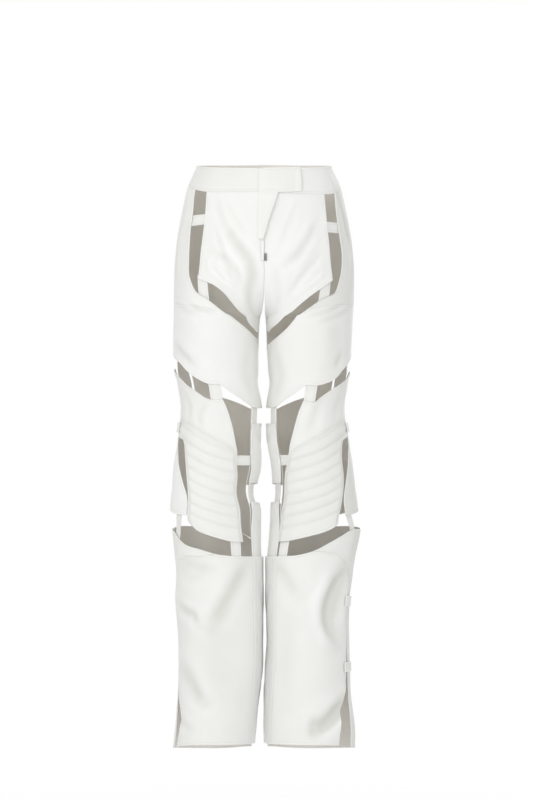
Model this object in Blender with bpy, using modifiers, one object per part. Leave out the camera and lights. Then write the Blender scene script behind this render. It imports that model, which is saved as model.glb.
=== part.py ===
"""Strapped, panelled biker pants in off-white leather, in the hollow form that they have when worn.

Every piece is a wall of leather on one form: a hip ring that splits at the fork into two leg rings.
A place on the form is a turn and a height. The turn is in degrees round one leg, from its inner side, 0,
over the front, 90, to the outer side, 180, and the back, 270. Above the fork the same turn runs from the
centre front, 0, round the hip, 180, to the centre back, 360. The height is in millimetres above the
middle of the waistband, which is the origin. Right is the wearer's right, at -X, and the front faces -Y.
"""

import math
from collections import namedtuple

import bmesh
import bpy
from mathutils import Vector

MM = 0.001
RIGHT = -1
LEFT = 1
SIDES = {"right": RIGHT, "left": LEFT}

# Driving dimensions, in millimetres (turns in degrees)
WALL = 1.8
PAD_WALL = 4.5
SEAM = 0.5
LAP_GAP = 1.3
HIP_LAP_GAP = 0.8
TUCK_GAP = 1.0
LAY_OVER = WALL + LAP_GAP
HIP_LAY_OVER = WALL + HIP_LAP_GAP
OVER_FRONT = 2 * LAY_OVER + 0.6
TUCK_UNDER = -(WALL + LAP_GAP)
HIP_TUCK_UNDER = -(WALL + TUCK_GAP)
DEEP_TUCK_UNDER = TUCK_UNDER - 0.5
PAD_TUCK_UNDER = -(PAD_WALL + TUCK_GAP)
MM_PER_DEGREE = 1.4
CENTRE_FRONT = 0.3
CENTRE_BACK = 359.7
SIDE_SEAM = 205
FORK_TOP = -160
FORK = -250
HIP_SPLIT_TOP = -130
HIP_SPLIT_DEPTH = 190

Hip = namedtuple("Hip", "height half_width half_depth centre_y")
HIP_SECTIONS = [
    Hip(45, 118, 86, 0),
    Hip(22, 124, 90, 0),
    Hip(-14, 140, 101, 0),
    Hip(-60, 150.5, 108, 2),
    Hip(-110, 159, 112, 4),
    Hip(-146, 163.5, 114, 5),
    Hip(-174, 165, 115, 6),
    Hip(-225, 165, 114, 6),
    Hip(-310, 163, 110, 6),
]

Leg = namedtuple(
    "Leg", "height right_centre right_half_width left_centre left_half_width half_depth centre_y")
LEG_SECTIONS = [
    Leg(-150, 84, 81, 84, 81, 104, 6),
    Leg(-225, 86, 79.5, 82, 80, 98, 6),
    Leg(-300, 88.5, 78.5, 82, 78, 90, 6),
    Leg(-350, 88, 77, 82.5, 75, 84, 5),
    Leg(-371, 85.5, 73.5, 81.5, 71.5, 82, 4),
    Leg(-417, 78.5, 74.5, 75, 72, 77, 3),
    Leg(-476, 82, 76, 79, 75, 75, 1),
    Leg(-523, 86, 80, 87.5, 74.5, 76, 1),
    Leg(-570, 92, 78, 91, 77, 78, 3),
    Leg(-605, 88.5, 83.5, 91, 81, 79, 6),
    Leg(-640, 86.5, 82, 92, 84, 80, 8),
    Leg(-688, 83, 81, 84.5, 82.5, 81, 10),
    Leg(-723, 81.5, 80, 82, 80, 81, 11),
    Leg(-769, 82, 80.5, 79, 77, 81, 12),
    Leg(-842, 79.5, 78, 79.5, 76, 82, 13),
    Leg(-898, 80, 77, 79, 78, 83, 14),
    Leg(-946, 84, 75.5, 79, 80.5, 84, 15),
    Leg(-1003, 88.5, 74.5, 82, 84, 86, 16),
    Leg(-1052, 94, 75, 83, 83, 87, 17),
]

# The largest folds: a trough from one place to another, with the wearer's side, or 0 for both legs
Fold = namedtuple("Fold", "side turn height end_turn end_height reach depth")
FOLDS = [
    Fold(RIGHT, 52, -700, 101, -815, 12, 3.0),
    Fold(RIGHT, 152, -888, 110, -955, 12, 3.0),
    Fold(RIGHT, 122, -338, 158, -304, 10, 2.0),
    Fold(LEFT, 38, -695, 77, -759, 12, 2.5),
    Fold(LEFT, 137, -720, 116, -804, 18, 5.0),
    Fold(LEFT, 136, -957, 92, -1002, 16, 4.0),
    Fold(LEFT, 129, -344, 141, -319, 10, 2.0),
    Fold(0, 250, -730, 290, -830, 16, 4.0),
    Fold(0, 300, -900, 240, -980, 16, 4.0),
    Fold(0, 215, -240, 300, -300, 14, 3.0),
]

# Lines that several pieces share, as (turn, height)
WAIST_TOP = [(0, 14), (90, 18), (180, 26), (270, 31), (360, 34)]
WAIST_LINE = {
    RIGHT: [(0, -29), (90, -27), (125, -21), (180, -12), (270, -8), (360, -6)],
    LEFT: [(0, -30), (40, -31), (97, -31), (125, -27.5), (165, -17.5), (SIDE_SEAM, -10.2)],
}
HIP_SEAM = [(73.5, -240.5), (92, -237), (118, -232), (160, -228), (SIDE_SEAM, -226)]
SEAT_SEAM = [(SIDE_SEAM, -226), (270, -235), (330, -252), (360, -264)]
KNEE_SEAM = [(68, -492), (98, -471), (114, -461), (131, -450), (150, -442), (178, -437)]
HEM = [(-22, -1036), (0, -1032), (60, -1027), (120, -1028), (180, -1041), (270, -1052), (338, -1042)]

# Where the knee seam starts and the calf's outer slit lies on each leg, which stand turned differently
KNEE_SEAM_START = {RIGHT: (63, -496), LEFT: (59, -497)}
CALF_SLIT = {RIGHT: 162, LEFT: 150}

# The turns of the knee pad's two edges and of the knee back's outer edge, which differ between the legs
KneeEdge = namedtuple(
    "KneeEdge", "height right_inner left_inner right_outer left_outer right_back left_back")
KNEE_EDGES = [
    KneeEdge(-520, 63, 51, 136, 139, 152, 152),
    KneeEdge(-545, 59, 45, 131, 137, 141, 143),
    KneeEdge(-582, 57, 44, 126, 130, 127.6, 133),
    KneeEdge(-620, 57, 41, 128, 121, 129.6, 134),
]
KNEE_BACK_CORNER = -612
RIB_COUNT = 8
RIB_HEIGHT = 3.0
RIB_FADE = 0.2


def smooth_value(rows, place, column):
    """Value of a table's column at a place along its first column, on a smooth curve through the rows."""
    ordered = sorted(rows, key=lambda row: row[0])
    if place <= ordered[0][0]:
        return ordered[0][column]
    if place >= ordered[-1][0]:
        return ordered[-1][column]
    upper = next(i for i, row in enumerate(ordered) if row[0] >= place)
    before, start, end = ordered[max(upper - 2, 0)], ordered[upper - 1], ordered[upper]
    after = ordered[min(upper + 1, len(ordered) - 1)]
    span = end[0] - start[0]
    t = (place - start[0]) / span
    slope_in = (end[column] - before[column]) / (end[0] - before[0]) * span
    slope_out = (after[column] - start[column]) / (after[0] - start[0]) * span
    blend = t * t * (3 - 2 * t)
    rise = (t - 2 * t * t + t ** 3) * slope_in + (t ** 3 - t * t) * slope_out
    return start[column] * (1 - blend) + end[column] * blend + rise


def ease(t):
    t = min(max(t, 0), 1)
    return t * t * (3 - 2 * t)


def leg_share(turn, height):
    """How far a place has left the hip ring for the leg ring, from 0 to 1. The fork is a round U."""
    down = min(max((FORK_TOP - height) / (FORK_TOP - FORK), 0), 1)
    at_centre = 1 - math.sqrt(1 - down * down)
    at_side = ease((HIP_SPLIT_TOP - height) / HIP_SPLIT_DEPTH)
    nearness = abs(math.cos(math.radians(turn / 2))) ** 3
    return at_centre * nearness + at_side * (1 - nearness)


def form(side, turn, height):
    """The form's surface at a turn and a height, in millimetres."""
    hip_angle = math.radians(turn / 2)
    half_width, half_depth, centre_y = [smooth_value(HIP_SECTIONS, height, column) for column in (1, 2, 3)]
    hip_x = half_width * math.sin(hip_angle)
    hip_y = centre_y - half_depth * math.cos(hip_angle)
    leg_columns = (1, 2, 5, 6) if side == RIGHT else (3, 4, 5, 6)
    leg_angle = math.radians(turn)
    centre_x, half_width, half_depth, centre_y = [
        smooth_value(LEG_SECTIONS, height, column) for column in leg_columns]
    leg_x = centre_x - half_width * math.cos(leg_angle)
    leg_y = centre_y - half_depth * math.sin(leg_angle)
    share = leg_share(turn, height)
    x = hip_x * (1 - share) + leg_x * share
    y = hip_y * (1 - share) + leg_y * share
    return Vector((side * x, y, height))


def fold_depth(side, turn, height):
    """How far the folds near a place press it in."""
    depth = 0
    for fold in FOLDS:
        if fold.side not in (0, side):
            continue
        along_x = (fold.end_turn - fold.turn) * MM_PER_DEGREE
        along_z = fold.end_height - fold.height
        to_x = (turn - fold.turn) * MM_PER_DEGREE
        to_z = height - fold.height
        length = math.hypot(along_x, along_z)
        travel = (to_x * along_x + to_z * along_z) / length
        across = (to_x * along_z - to_z * along_x) / length
        past_end = max(-travel, travel - length, 0)
        depth += fold.depth * math.exp(-(across * across + past_end * past_end) / fold.reach ** 2)
    return depth


def surface(side, turn, height, lift):
    """A point moved out from the form by the lift, less the folds."""
    step = 1.0
    place = form(side, turn, height)
    round_leg = form(side, turn + step, height) - form(side, turn - step, height)
    upward = form(side, turn, height + step) - form(side, turn, height - step)
    outward = round_leg.cross(upward).normalized() * side
    return (place + outward * (lift - fold_depth(side, turn, height))) * MM


def stretch(line, first, last, drop=0):
    """Part of a shared line between two turns, lowered by the drop, with a point about every 10 degrees."""
    count = max(1, round((last - first) / 10))
    turns = [first + (last - first) * i / count for i in range(count + 1)]
    return [(turn, smooth_value(line, turn, 1) - drop) for turn in turns]


def round_back(line, first):
    """The line from a turn on the left leg over the centre back to the same turn on the right."""
    half = stretch(line, first, 360)
    return half + [(720 - turn, height) for turn, height in reversed(half[:-1])]


def along(points, fraction):
    """The place a fraction of the way along an edge, on a smooth curve through its points."""
    reach = [0.0]
    for (turn, height), (next_turn, next_height) in zip(points, points[1:]):
        reach.append(reach[-1] + math.hypot((next_turn - turn) * MM_PER_DEGREE, next_height - height))
    rows = [(distance, turn, height) for distance, (turn, height) in zip(reach, points)]
    distance = fraction * reach[-1]
    return smooth_value(rows, distance, 1), smooth_value(rows, distance, 2)


# A panel's four edges, as (turn, height). Top and bottom run from the lower turn to the higher and hold
# the corners. First and last are the points between the corners, from top to bottom.
# The lift is how far the piece stands out from the form at its top edge, and low_lift at its bottom.
Panel = namedtuple("Panel", "top bottom first last columns rows lift low_lift wall", defaults=(0, 0, WALL))


def panel_place(panel, across, up):
    """The turn and the height inside a panel, filled in between its four edges."""
    top = along(panel.top, across)
    bottom = along(panel.bottom, across)
    first = along([panel.top[0]] + panel.first + [panel.bottom[0]], 1 - up)
    last = along([panel.top[-1]] + panel.last + [panel.bottom[-1]], 1 - up)
    place = []
    for axis in (0, 1):
        edges = (bottom[axis] * (1 - up) + top[axis] * up
                 + first[axis] * (1 - across) + last[axis] * across)
        corners = ((panel.bottom[0][axis] * (1 - across) + panel.bottom[-1][axis] * across) * (1 - up)
                   + (panel.top[0][axis] * (1 - across) + panel.top[-1][axis] * across) * up)
        place.append(edges - corners)
    return place


def rib_lift(across, up):
    """Rise of the knee pad's ribs, which fade at the pad's two side edges."""
    fade = ease(min(across, 1 - across) / RIB_FADE)
    return RIB_HEIGHT * abs(math.sin(math.pi * RIB_COUNT * up)) * fade


def leather(name, colour, roughness):
    material = bpy.data.materials.new(name)
    material.use_nodes = True
    shader = material.node_tree.nodes["Principled BSDF"]
    shader.inputs["Base Color"].default_value = (*colour, 1)
    shader.inputs["Roughness"].default_value = roughness
    material.diffuse_color = (*colour, 1)
    return material


def add_wall(name, side, panel, colour, parent, extra_lift=None):
    """A grid laid on the form inside a panel's edges and given the thickness of its leather."""
    shape = bmesh.new()
    bmesh.ops.create_grid(shape, x_segments=panel.columns, y_segments=panel.rows, size=0.5)
    for vert in shape.verts:
        across, up = vert.co.x + 0.5, vert.co.y + 0.5
        turn, height = panel_place(panel, across, up)
        lift = panel.lift * up + panel.low_lift * (1 - up)
        if extra_lift:
            lift += extra_lift(across, up)
        vert.co = surface(side, turn, height, lift)
    if side == RIGHT:
        bmesh.ops.reverse_faces(shape, faces=shape.faces[:])
    mesh = bpy.data.meshes.new(name)
    shape.to_mesh(mesh)
    shape.free()
    mesh.shade_smooth()
    mesh.materials.append(leather(name, colour, 0.55))
    piece = bpy.data.objects.new(name, mesh)
    piece.parent = parent
    bpy.data.collections["biker_pants"].objects.link(piece)
    solidify = piece.modifiers.new("leather thickness", "SOLIDIFY")
    solidify.thickness = panel.wall * MM
    solidify.offset = -1
    return piece


# Straps: a band along the line between two places, tucked under or laid over the panels that it joins
Strap = namedtuple("Strap", "turn height end_turn end_height width lift end_lift")
STRAP_CELL_WIDTH = 20
STRAP_CELL_LENGTH = 14


def strap_panel(strap):
    """The panel of a strap, whose long sides run along it. Its bottom edge is its end."""
    run = (strap.end_turn - strap.turn) * MM_PER_DEGREE
    rise = strap.end_height - strap.height
    length = math.hypot(run, rise)
    half_turn = -rise / length * strap.width / 2 / MM_PER_DEGREE
    half_height = run / length * strap.width / 2
    start = [(strap.turn - half_turn, strap.height - half_height),
             (strap.turn + half_turn, strap.height + half_height)]
    end = [(strap.end_turn - half_turn, strap.end_height - half_height),
           (strap.end_turn + half_turn, strap.end_height + half_height)]
    return Panel(start, end, [], [], max(1, round(strap.width / STRAP_CELL_WIDTH)),
                 max(2, round(length / STRAP_CELL_LENGTH)), strap.lift, strap.end_lift)


def knee_edge(side, name):
    """Middle points of a knee edge on one leg, from top to bottom: inner or outer of the pad, or back."""
    leg = "right" if side == RIGHT else "left"
    return [(getattr(row, f"{leg}_{name}"), row.height) for row in KNEE_EDGES]


def hip_panels(side):
    """The hip's three panels. The openings beside the hip front differ a little between the sides."""
    waist_line = WAIST_LINE[side]
    front_corner = {RIGHT: 93, LEFT: 97.5}[side]
    front_bottom = {
        RIGHT: [(18, -280), (27, -274.5), (41, -262), (46, -246), (50.5, -231), (59, -211), (68, -200),
                (76, -193.5), (97, -184)],
        LEFT: [(18, -280), (27, -273.5), (40, -265.5), (50.5, -253.5), (54.5, -243.5), (60, -231),
               (71, -215.5), (86, -200.5), (102, -187)],
    }
    front_outer_edge = {
        RIGHT: [(89, -80), (89, -110), (91, -152)],
        LEFT: [(94, -80), (93.5, -110), (94.5, -152)],
    }
    side_front_edge = {
        RIGHT: [(119, -60), (118, -85), (116.5, -112), (114.5, -150), (115.5, -175), (111.5, -192),
                (105, -208), (88.5, -221.5), (80, -231)],
        LEFT: [(120, -60), (118.5, -90), (121, -130), (120.5, -150), (119, -172), (116, -189),
               (111, -209), (90, -222), (80, -232.5)],
    }
    return {
        "hip_front": Panel(
            top=stretch(waist_line, CENTRE_FRONT, front_corner, SEAM),
            bottom=front_bottom[side],
            first=[(CENTRE_FRONT, -120), (CENTRE_FRONT, -225), (CENTRE_FRONT, -262)],
            last=front_outer_edge[side],
            columns=8, rows=8),
        "hip_side": Panel(
            top=stretch(waist_line, 125, SIDE_SEAM, SEAM),
            bottom=HIP_SEAM,
            first=side_front_edge[side],
            last=[(SIDE_SEAM, -60), (SIDE_SEAM, -150)],
            columns=8, rows=9),
        "seat": Panel(
            top=stretch(WAIST_LINE[RIGHT], SIDE_SEAM + SEAM, CENTRE_BACK, SEAM),
            bottom=stretch(SEAT_SEAM, SIDE_SEAM + SEAM, CENTRE_BACK),
            first=[(SIDE_SEAM + SEAM, -60), (SIDE_SEAM + SEAM, -150)],
            last=[(CENTRE_BACK, -90), (CENTRE_BACK, -180), (CENTRE_BACK, -235)],
            columns=9, rows=9),
    }


def thigh_panels(side):
    """The thigh's two panels and the two at the inner leg, above and below the knee's inner gap."""
    inner_top = {
        RIGHT: [(CENTRE_FRONT, -298), (12, -293.5), (25.5, -288), (42, -276), (55, -264), (65.5, -253),
                (70, -246)],
        LEFT: [(CENTRE_FRONT, -306), (12, -303), (31, -295.5), (48, -283), (58.5, -271), (66, -258),
               (70.5, -247)],
    }
    outer_bottom = {
        RIGHT: [(86, -375), (102, -374), (120, -363), (132, -351), (147, -335), (165, -326), (182, -317)],
        LEFT: [(86, -376.5), (102, -377), (115, -373), (127, -367), (135, -359), (141, -350), (151, -341),
               (165, -330), (182, -319)],
    }
    return {
        "thigh_front": Panel(
            top=inner_top[side] + stretch(HIP_SEAM, 74, SIDE_SEAM, 2 * SEAM),
            bottom=[(CENTRE_FRONT, -417), (38, -416), (62, -398), (76, -386)] + outer_bottom[side]
            + [(SIDE_SEAM, -313)],
            first=[(CENTRE_FRONT, -360)],
            last=[(SIDE_SEAM, -270)],
            columns=14, rows=5),
        "thigh_back": Panel(
            top=stretch(SEAT_SEAM, SIDE_SEAM + SEAM, CENTRE_BACK, SEAM),
            bottom=[(SIDE_SEAM + SEAM, -313), (230, -330), (270, -342), (318, -372), (345, -405),
                    (CENTRE_BACK, -417)],
            first=[(SIDE_SEAM + SEAM, -270)],
            last=[(CENTRE_BACK, -340)],
            columns=9, rows=5),
        "inner_upper": Panel(
            top=[(-40, -446), (40, -446)],
            bottom=[(-40, -560), (36, -553)],
            first=[(-40, -500)],
            last=[(39, -500)],
            columns=4, rows=5),
        "inner_lower": Panel(
            top=[(-40, -594), (34, -587)],
            bottom=[(-40, -692), (38, -692)],
            first=[(-40, -635)],
            last=[(38, -635)],
            columns=4, rows=5,
            low_lift=DEEP_TUCK_UNDER),
    }


def hip_and_thigh_straps(side):
    """The straps above the knee pad. The hip strap lies lower on the left, as the waistband does."""
    hip_strap = {
        RIGHT: Strap(83, -76, 125, -78, 19, HIP_TUCK_UNDER, HIP_TUCK_UNDER),
        LEFT: Strap(88, -90, 125, -91, 19, HIP_TUCK_UNDER, HIP_TUCK_UNDER),
    }
    return {
        "hip_strap": hip_strap[side],
        "groin_strap": Strap(91, -179, 97, -229, 25, HIP_TUCK_UNDER - 1.2, DEEP_TUCK_UNDER - 1.4),
        "knee_strap_front": Strap(94, -365, 95, -417, 25, TUCK_UNDER, TUCK_UNDER),
        "knee_strap_side": Strap(209, -300, 209, -402, 42, TUCK_UNDER, TUCK_UNDER),
        "knee_strap_back": Strap(245.5, -312, 245.5, -414, 46, TUCK_UNDER, TUCK_UNDER),
        "knee_strap_outer": Strap(162, -453, 198, -453, 18, LAY_OVER + LAP_GAP, LAY_OVER),
        "inner_strap_top": Strap(32, -408, 32, -455, 20, TUCK_UNDER, TUCK_UNDER),
        "inner_strap_middle": Strap(24, -545, 24, -597, 22, TUCK_UNDER, DEEP_TUCK_UNDER),
    }


def knee_panels(side):
    """The knee's three panels, whose edges follow the leg's own knee table."""
    inner = knee_edge(side, "inner")
    outer = knee_edge(side, "outer")
    back = knee_edge(side, "back")
    seam = [KNEE_SEAM_START[side]] + KNEE_SEAM + [(187, -436)]
    bottom_inner = inner[-1][0] - 2
    top = {
        RIGHT: [(86, -402), (105, -402), (125, -387), (140, -376), (159, -359), (178, -348), (187, -346)],
        LEFT: [(86, -404), (101, -407.5), (112, -397), (128, -383.5), (145, -374), (163, -362.5),
               (178, -353), (187, -350.5)],
    }
    pad_bottom = {
        RIGHT: [(bottom_inner + 18, -658.5), (85, -654), (95, -649.5), (112, -640.5), (120, -634)],
        LEFT: [(bottom_inner + 18, -658), (86, -648), (107, -638), (120, -627)],
    }
    return {
        "knee_top": Panel(
            top=top[side],
            bottom=seam,
            first=[(79, -427), (71, -457)],
            last=[(186, -390)],
            columns=8, rows=6),
        "knee_pad": Panel(
            top=[(turn, height - SEAM) for turn, height in seam],
            bottom=[(bottom_inner, -660)] + pad_bottom[side],
            first=inner,
            last=[(172, -466), (150, -476), (139, -506)] + outer[1:],
            columns=8, rows=2 * RIB_COUNT,
            wall=PAD_WALL),
        "knee_back": Panel(
            top=[(189, top[side][-1][1] - SEAM), (215, -385), (270, -398), (318, -420)],
            bottom=[(back[-1][0], KNEE_BACK_CORNER), (152, -610), (180, -606), (225, -612), (262, -628),
                    (295, -643), (318, -656)],
            first=[(189, -390), (189, -440), (175, -474), (160, -500)] + back[:-1],
            last=[(318, -500)],
            columns=8, rows=8),
    }


def knee_straps(side):
    """The knee pad's own straps, placed from its inner edge."""
    inner = knee_edge(side, "inner")
    pad_edge = inner[0][0]
    pad_corner = inner[-1][0]
    return {
        "pad_strap_inner": Strap(33, -513, pad_edge + 7, -512, 18, DEEP_TUCK_UNDER, PAD_TUCK_UNDER),
        "calf_strap_front": Strap(pad_corner + 7, -650, pad_corner + 8, -697, 21,
                                  PAD_TUCK_UNDER, TUCK_UNDER),
    }


def calf_panels(side):
    """The calf's four panels. The front one laps over its neighbours, up to a slit on the outer side."""
    slit = CALF_SLIT[side]
    yoke_top = {
        RIGHT: [(72, -685), (92, -681.5), (113, -673.5), (136, -666), (149, -657), (slit, -645)],
        LEFT: [(72, -684), (93, -675), (110, -661.5), (125, -650), (138, -641.5), (slit, -638)],
    }
    front_top = {
        RIGHT: [(70, -685.5), (92, -683), (113, -686), (136, -688), (149, -692)],
        LEFT: [(70, -684), (92, -677.5), (116, -680), (127, -687), (137, -697)],
    }
    front_corner = {RIGHT: slit - 11, LEFT: slit - 22.5}[side]
    front_outer_edge = {
        RIGHT: [(slit - 2, -908), (slit - 8, -950), (slit - 15, -977), (slit - 14, -1000)],
        LEFT: [(slit - 2, -908), (slit - 5.5, -945), (slit - 15.5, -975), (slit - 19, -992),
               (slit - 21.5, -1010)],
    }
    return {
        "calf_yoke": Panel(
            top=[(42, -687)] + yoke_top[side],
            bottom=[(42, -735), (100, -733), (slit, -735)],
            first=[], last=[(slit, -690)],
            columns=8, rows=3,
            lift=-0.2, low_lift=-0.2),
        "calf_front": Panel(
            top=[(35, -687)] + front_top[side],
            bottom=stretch(HEM, 29, front_corner),
            first=[(34, -840), (32, -950)],
            last=[(slit - 5, -708), (slit, -748), (slit + 1, -840)] + front_outer_edge[side],
            columns=9, rows=10,
            lift=LAY_OVER + 0.3, low_lift=LAY_OVER),
        "calf_back": Panel(
            top=[(slit + 1.5, yoke_top[side][-1][1]), (slit + 13, -639), (slit + 28, -638), (215, -636),
                 (240, -637), (262, -639), (295, -646), (318, -662), (337, -688)],
            bottom=stretch(HEM, slit + 5, 337),
            first=[(slit + 1.5, -735), (slit + 7, -780), (slit + 8, -900)],
            last=[(337, -840)],
            columns=11, rows=8),
        "calf_inner": Panel(
            top=[(-21.5, -690), (40, -687)],
            bottom=stretch(HEM, -21.5, 34),
            first=[(-22.5, -840)],
            last=[(39, -840), (37, -950)],
            columns=4, rows=8),
    }


def calf_straps(side):
    """The straps on the calf's outer side, across the slit and up to the knee.

    The slit's straps are laid over its edges on the left leg and tucked behind them on the right.
    """
    slit = CALF_SLIT[side]
    if side == RIGHT:
        return {
            "calf_strap_outer": Strap(145, -598, 159, -657, 16, DEEP_TUCK_UNDER - 0.8, DEEP_TUCK_UNDER),
            "slit_strap_upper": Strap(slit - 9, -768, slit + 20, -770, 20, TUCK_UNDER, DEEP_TUCK_UNDER),
            "slit_strap_lower": Strap(slit - 11, -889, slit + 20, -889, 18, TUCK_UNDER, TUCK_UNDER),
        }
    return {
        "calf_strap_outer": Strap(141, -598, 152, -652, 16, DEEP_TUCK_UNDER - 0.8, DEEP_TUCK_UNDER),
        "slit_strap_upper": Strap(slit - 5, -768, slit + 20, -770, 20, OVER_FRONT, LAY_OVER),
        "slit_strap_lower": Strap(slit - 7, -889, slit + 20, -889, 18, OVER_FRONT, LAY_OVER - 0.3),
    }


WAIST_PANELS = {
    "waistband_right": Panel(
        top=stretch(WAIST_TOP, 9, SIDE_SEAM),
        bottom=stretch(WAIST_LINE[RIGHT], 9, SIDE_SEAM),
        first=[], last=[], columns=11, rows=2),
    "waistband_left": Panel(
        top=stretch(WAIST_TOP, 0, SIDE_SEAM),
        bottom=stretch(WAIST_LINE[LEFT], 0, SIDE_SEAM),
        first=[], last=[], columns=12, rows=2),
    "waistband_back": Panel(
        top=round_back(WAIST_TOP, SIDE_SEAM + SEAM),
        bottom=round_back(WAIST_LINE[RIGHT], SIDE_SEAM + SEAM),
        first=[], last=[], columns=18, rows=2),
    "fly_flap": Panel(
        top=[(-8.5, 14), (20, 15), (60, 17)],
        bottom=[(-8.5, -114), (-1, -114)],
        first=[], last=[(53, -28), (22, -31), (13, -55), (6, -80)],
        columns=5, rows=10,
        lift=LAY_OVER, low_lift=LAY_OVER),
    "fly_placket": Panel(
        top=[(-4, -117), (-0.5, -117)],
        bottom=[(-4, -153), (-0.5, -153)],
        first=[], last=[], columns=1, rows=3,
        lift=HIP_LAY_OVER, low_lift=HIP_LAY_OVER),
    "zip_stop": Panel(
        top=[(0.3, -140), (3.1, -140)],
        bottom=[(0.3, -153), (3.1, -153)],
        first=[], last=[], columns=1, rows=1,
        lift=HIP_LAY_OVER, low_lift=HIP_LAY_OVER),
}


def clear_scene():
    for item in list(bpy.data.objects):
        bpy.data.objects.remove(item)
    collection = bpy.data.collections.new("biker_pants")
    bpy.context.scene.collection.children.link(collection)


def add_mount():
    """The empty at the middle of the waistband, where the wearer holds the trousers up."""
    mount = bpy.data.objects.new("waist_mount", None)
    mount.empty_display_size = 0.1
    bpy.data.collections["biker_pants"].objects.link(mount)
    return mount


def main():
    clear_scene()
    mount = add_mount()
    ivory = (0.87, 0.87, 0.84)
    for name, panel in WAIST_PANELS.items():
        side = RIGHT if name == "waistband_right" else LEFT
        add_wall(name, side, panel, ivory, mount)
    for side_name, side in SIDES.items():
        panels = {**hip_panels(side), **thigh_panels(side), **knee_panels(side), **calf_panels(side)}
        for name, panel in panels.items():
            extra_lift = rib_lift if name == "knee_pad" else None
            add_wall(f"{name}_{side_name}", side, panel, ivory, mount, extra_lift)
        for name, strap in {**hip_and_thigh_straps(side), **knee_straps(side), **calf_straps(side)}.items():
            add_wall(f"{name}_{side_name}", side, strap_panel(strap), ivory, mount)


main()
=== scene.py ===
"""Looks of the strapped, panelled biker pants: each leather piece is a fine sewn shell on its solid's form.

A place on the form is a turn and a height. The turn is in degrees round one leg, from its inner side, 0,
over the front, 90, to the outer side, 180, and the back, 270. Above the fork the same turn runs from the
centre front, 0, round the hip, 180, to the centre back, 360. The height is in millimetres above the
middle of the waistband, which is the origin. Right is the wearer's right, at -X, and the front faces -Y.
"""

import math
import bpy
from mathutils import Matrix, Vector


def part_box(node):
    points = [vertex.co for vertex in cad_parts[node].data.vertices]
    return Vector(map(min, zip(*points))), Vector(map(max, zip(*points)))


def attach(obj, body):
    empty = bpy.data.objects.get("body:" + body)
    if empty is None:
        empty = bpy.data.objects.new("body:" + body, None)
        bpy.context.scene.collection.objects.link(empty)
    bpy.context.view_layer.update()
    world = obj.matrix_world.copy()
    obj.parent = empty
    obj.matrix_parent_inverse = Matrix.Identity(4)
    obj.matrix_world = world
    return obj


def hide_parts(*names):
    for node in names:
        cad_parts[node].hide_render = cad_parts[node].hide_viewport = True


bl_info = {
    "name": "Strapped Biker Pants",
    "version": (1, 0, 0),
    "blender": (4, 5, 0),
    "location": "View3D > Sidebar > Biker Pants",
    "description": "Sewn leather looks for the strapped, panelled biker pants, built on their packed frame",
    "category": "Add Mesh",
}

from collections import namedtuple

import bpy
import numpy as np
from bpy.props import FloatProperty, FloatVectorProperty, PointerProperty

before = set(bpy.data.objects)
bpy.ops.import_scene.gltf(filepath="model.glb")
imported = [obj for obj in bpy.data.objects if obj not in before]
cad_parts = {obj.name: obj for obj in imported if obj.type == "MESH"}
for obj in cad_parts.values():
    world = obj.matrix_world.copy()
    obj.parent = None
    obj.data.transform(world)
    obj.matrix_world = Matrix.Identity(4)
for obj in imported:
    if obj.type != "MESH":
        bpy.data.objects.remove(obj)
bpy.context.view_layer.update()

MM = 0.001
RIGHT = -1
LEFT = 1
SIDES = {"right": RIGHT, "left": LEFT}

# Sizes that the frame was built with, in millimetres (turns in degrees)
WALL = 1.8
PAD_WALL = 4.5
LAP_GAP = 1.3
TUCK_GAP = 1.0
HIP_LAP_GAP = 0.8
LAY_OVER = WALL + LAP_GAP
HIP_LAY_OVER = WALL + HIP_LAP_GAP
OVER_FRONT = 2 * LAY_OVER + 0.6
TUCK_UNDER = -LAY_OVER
HIP_TUCK_UNDER = -(WALL + TUCK_GAP)
DEEP_TUCK_UNDER = TUCK_UNDER - 0.5
PAD_TUCK_UNDER = -(PAD_WALL + TUCK_GAP)
MM_PER_DEGREE = 1.4
SIDE_SEAM = 205
FORK_TOP = -160
FORK = -250
HIP_SPLIT_TOP = -130
HIP_SPLIT_DEPTH = 190

# The gap at a sewn seam, and the turns where the centre seams lie: closer here than between the solids
SEAM = 0.06
CENTRE_FRONT = 0.03
CENTRE_BACK = 359.97

Hip = namedtuple("Hip", "height half_width half_depth centre_y")
HIP_SECTIONS = [
    Hip(45, 118, 86, 0),
    Hip(22, 124, 90, 0),
    Hip(-14, 140, 101, 0),
    Hip(-60, 150.5, 108, 2),
    Hip(-110, 159, 112, 4),
    Hip(-146, 163.5, 114, 5),
    Hip(-174, 165, 115, 6),
    Hip(-225, 165, 114, 6),
    Hip(-310, 163, 110, 6),
]

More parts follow.
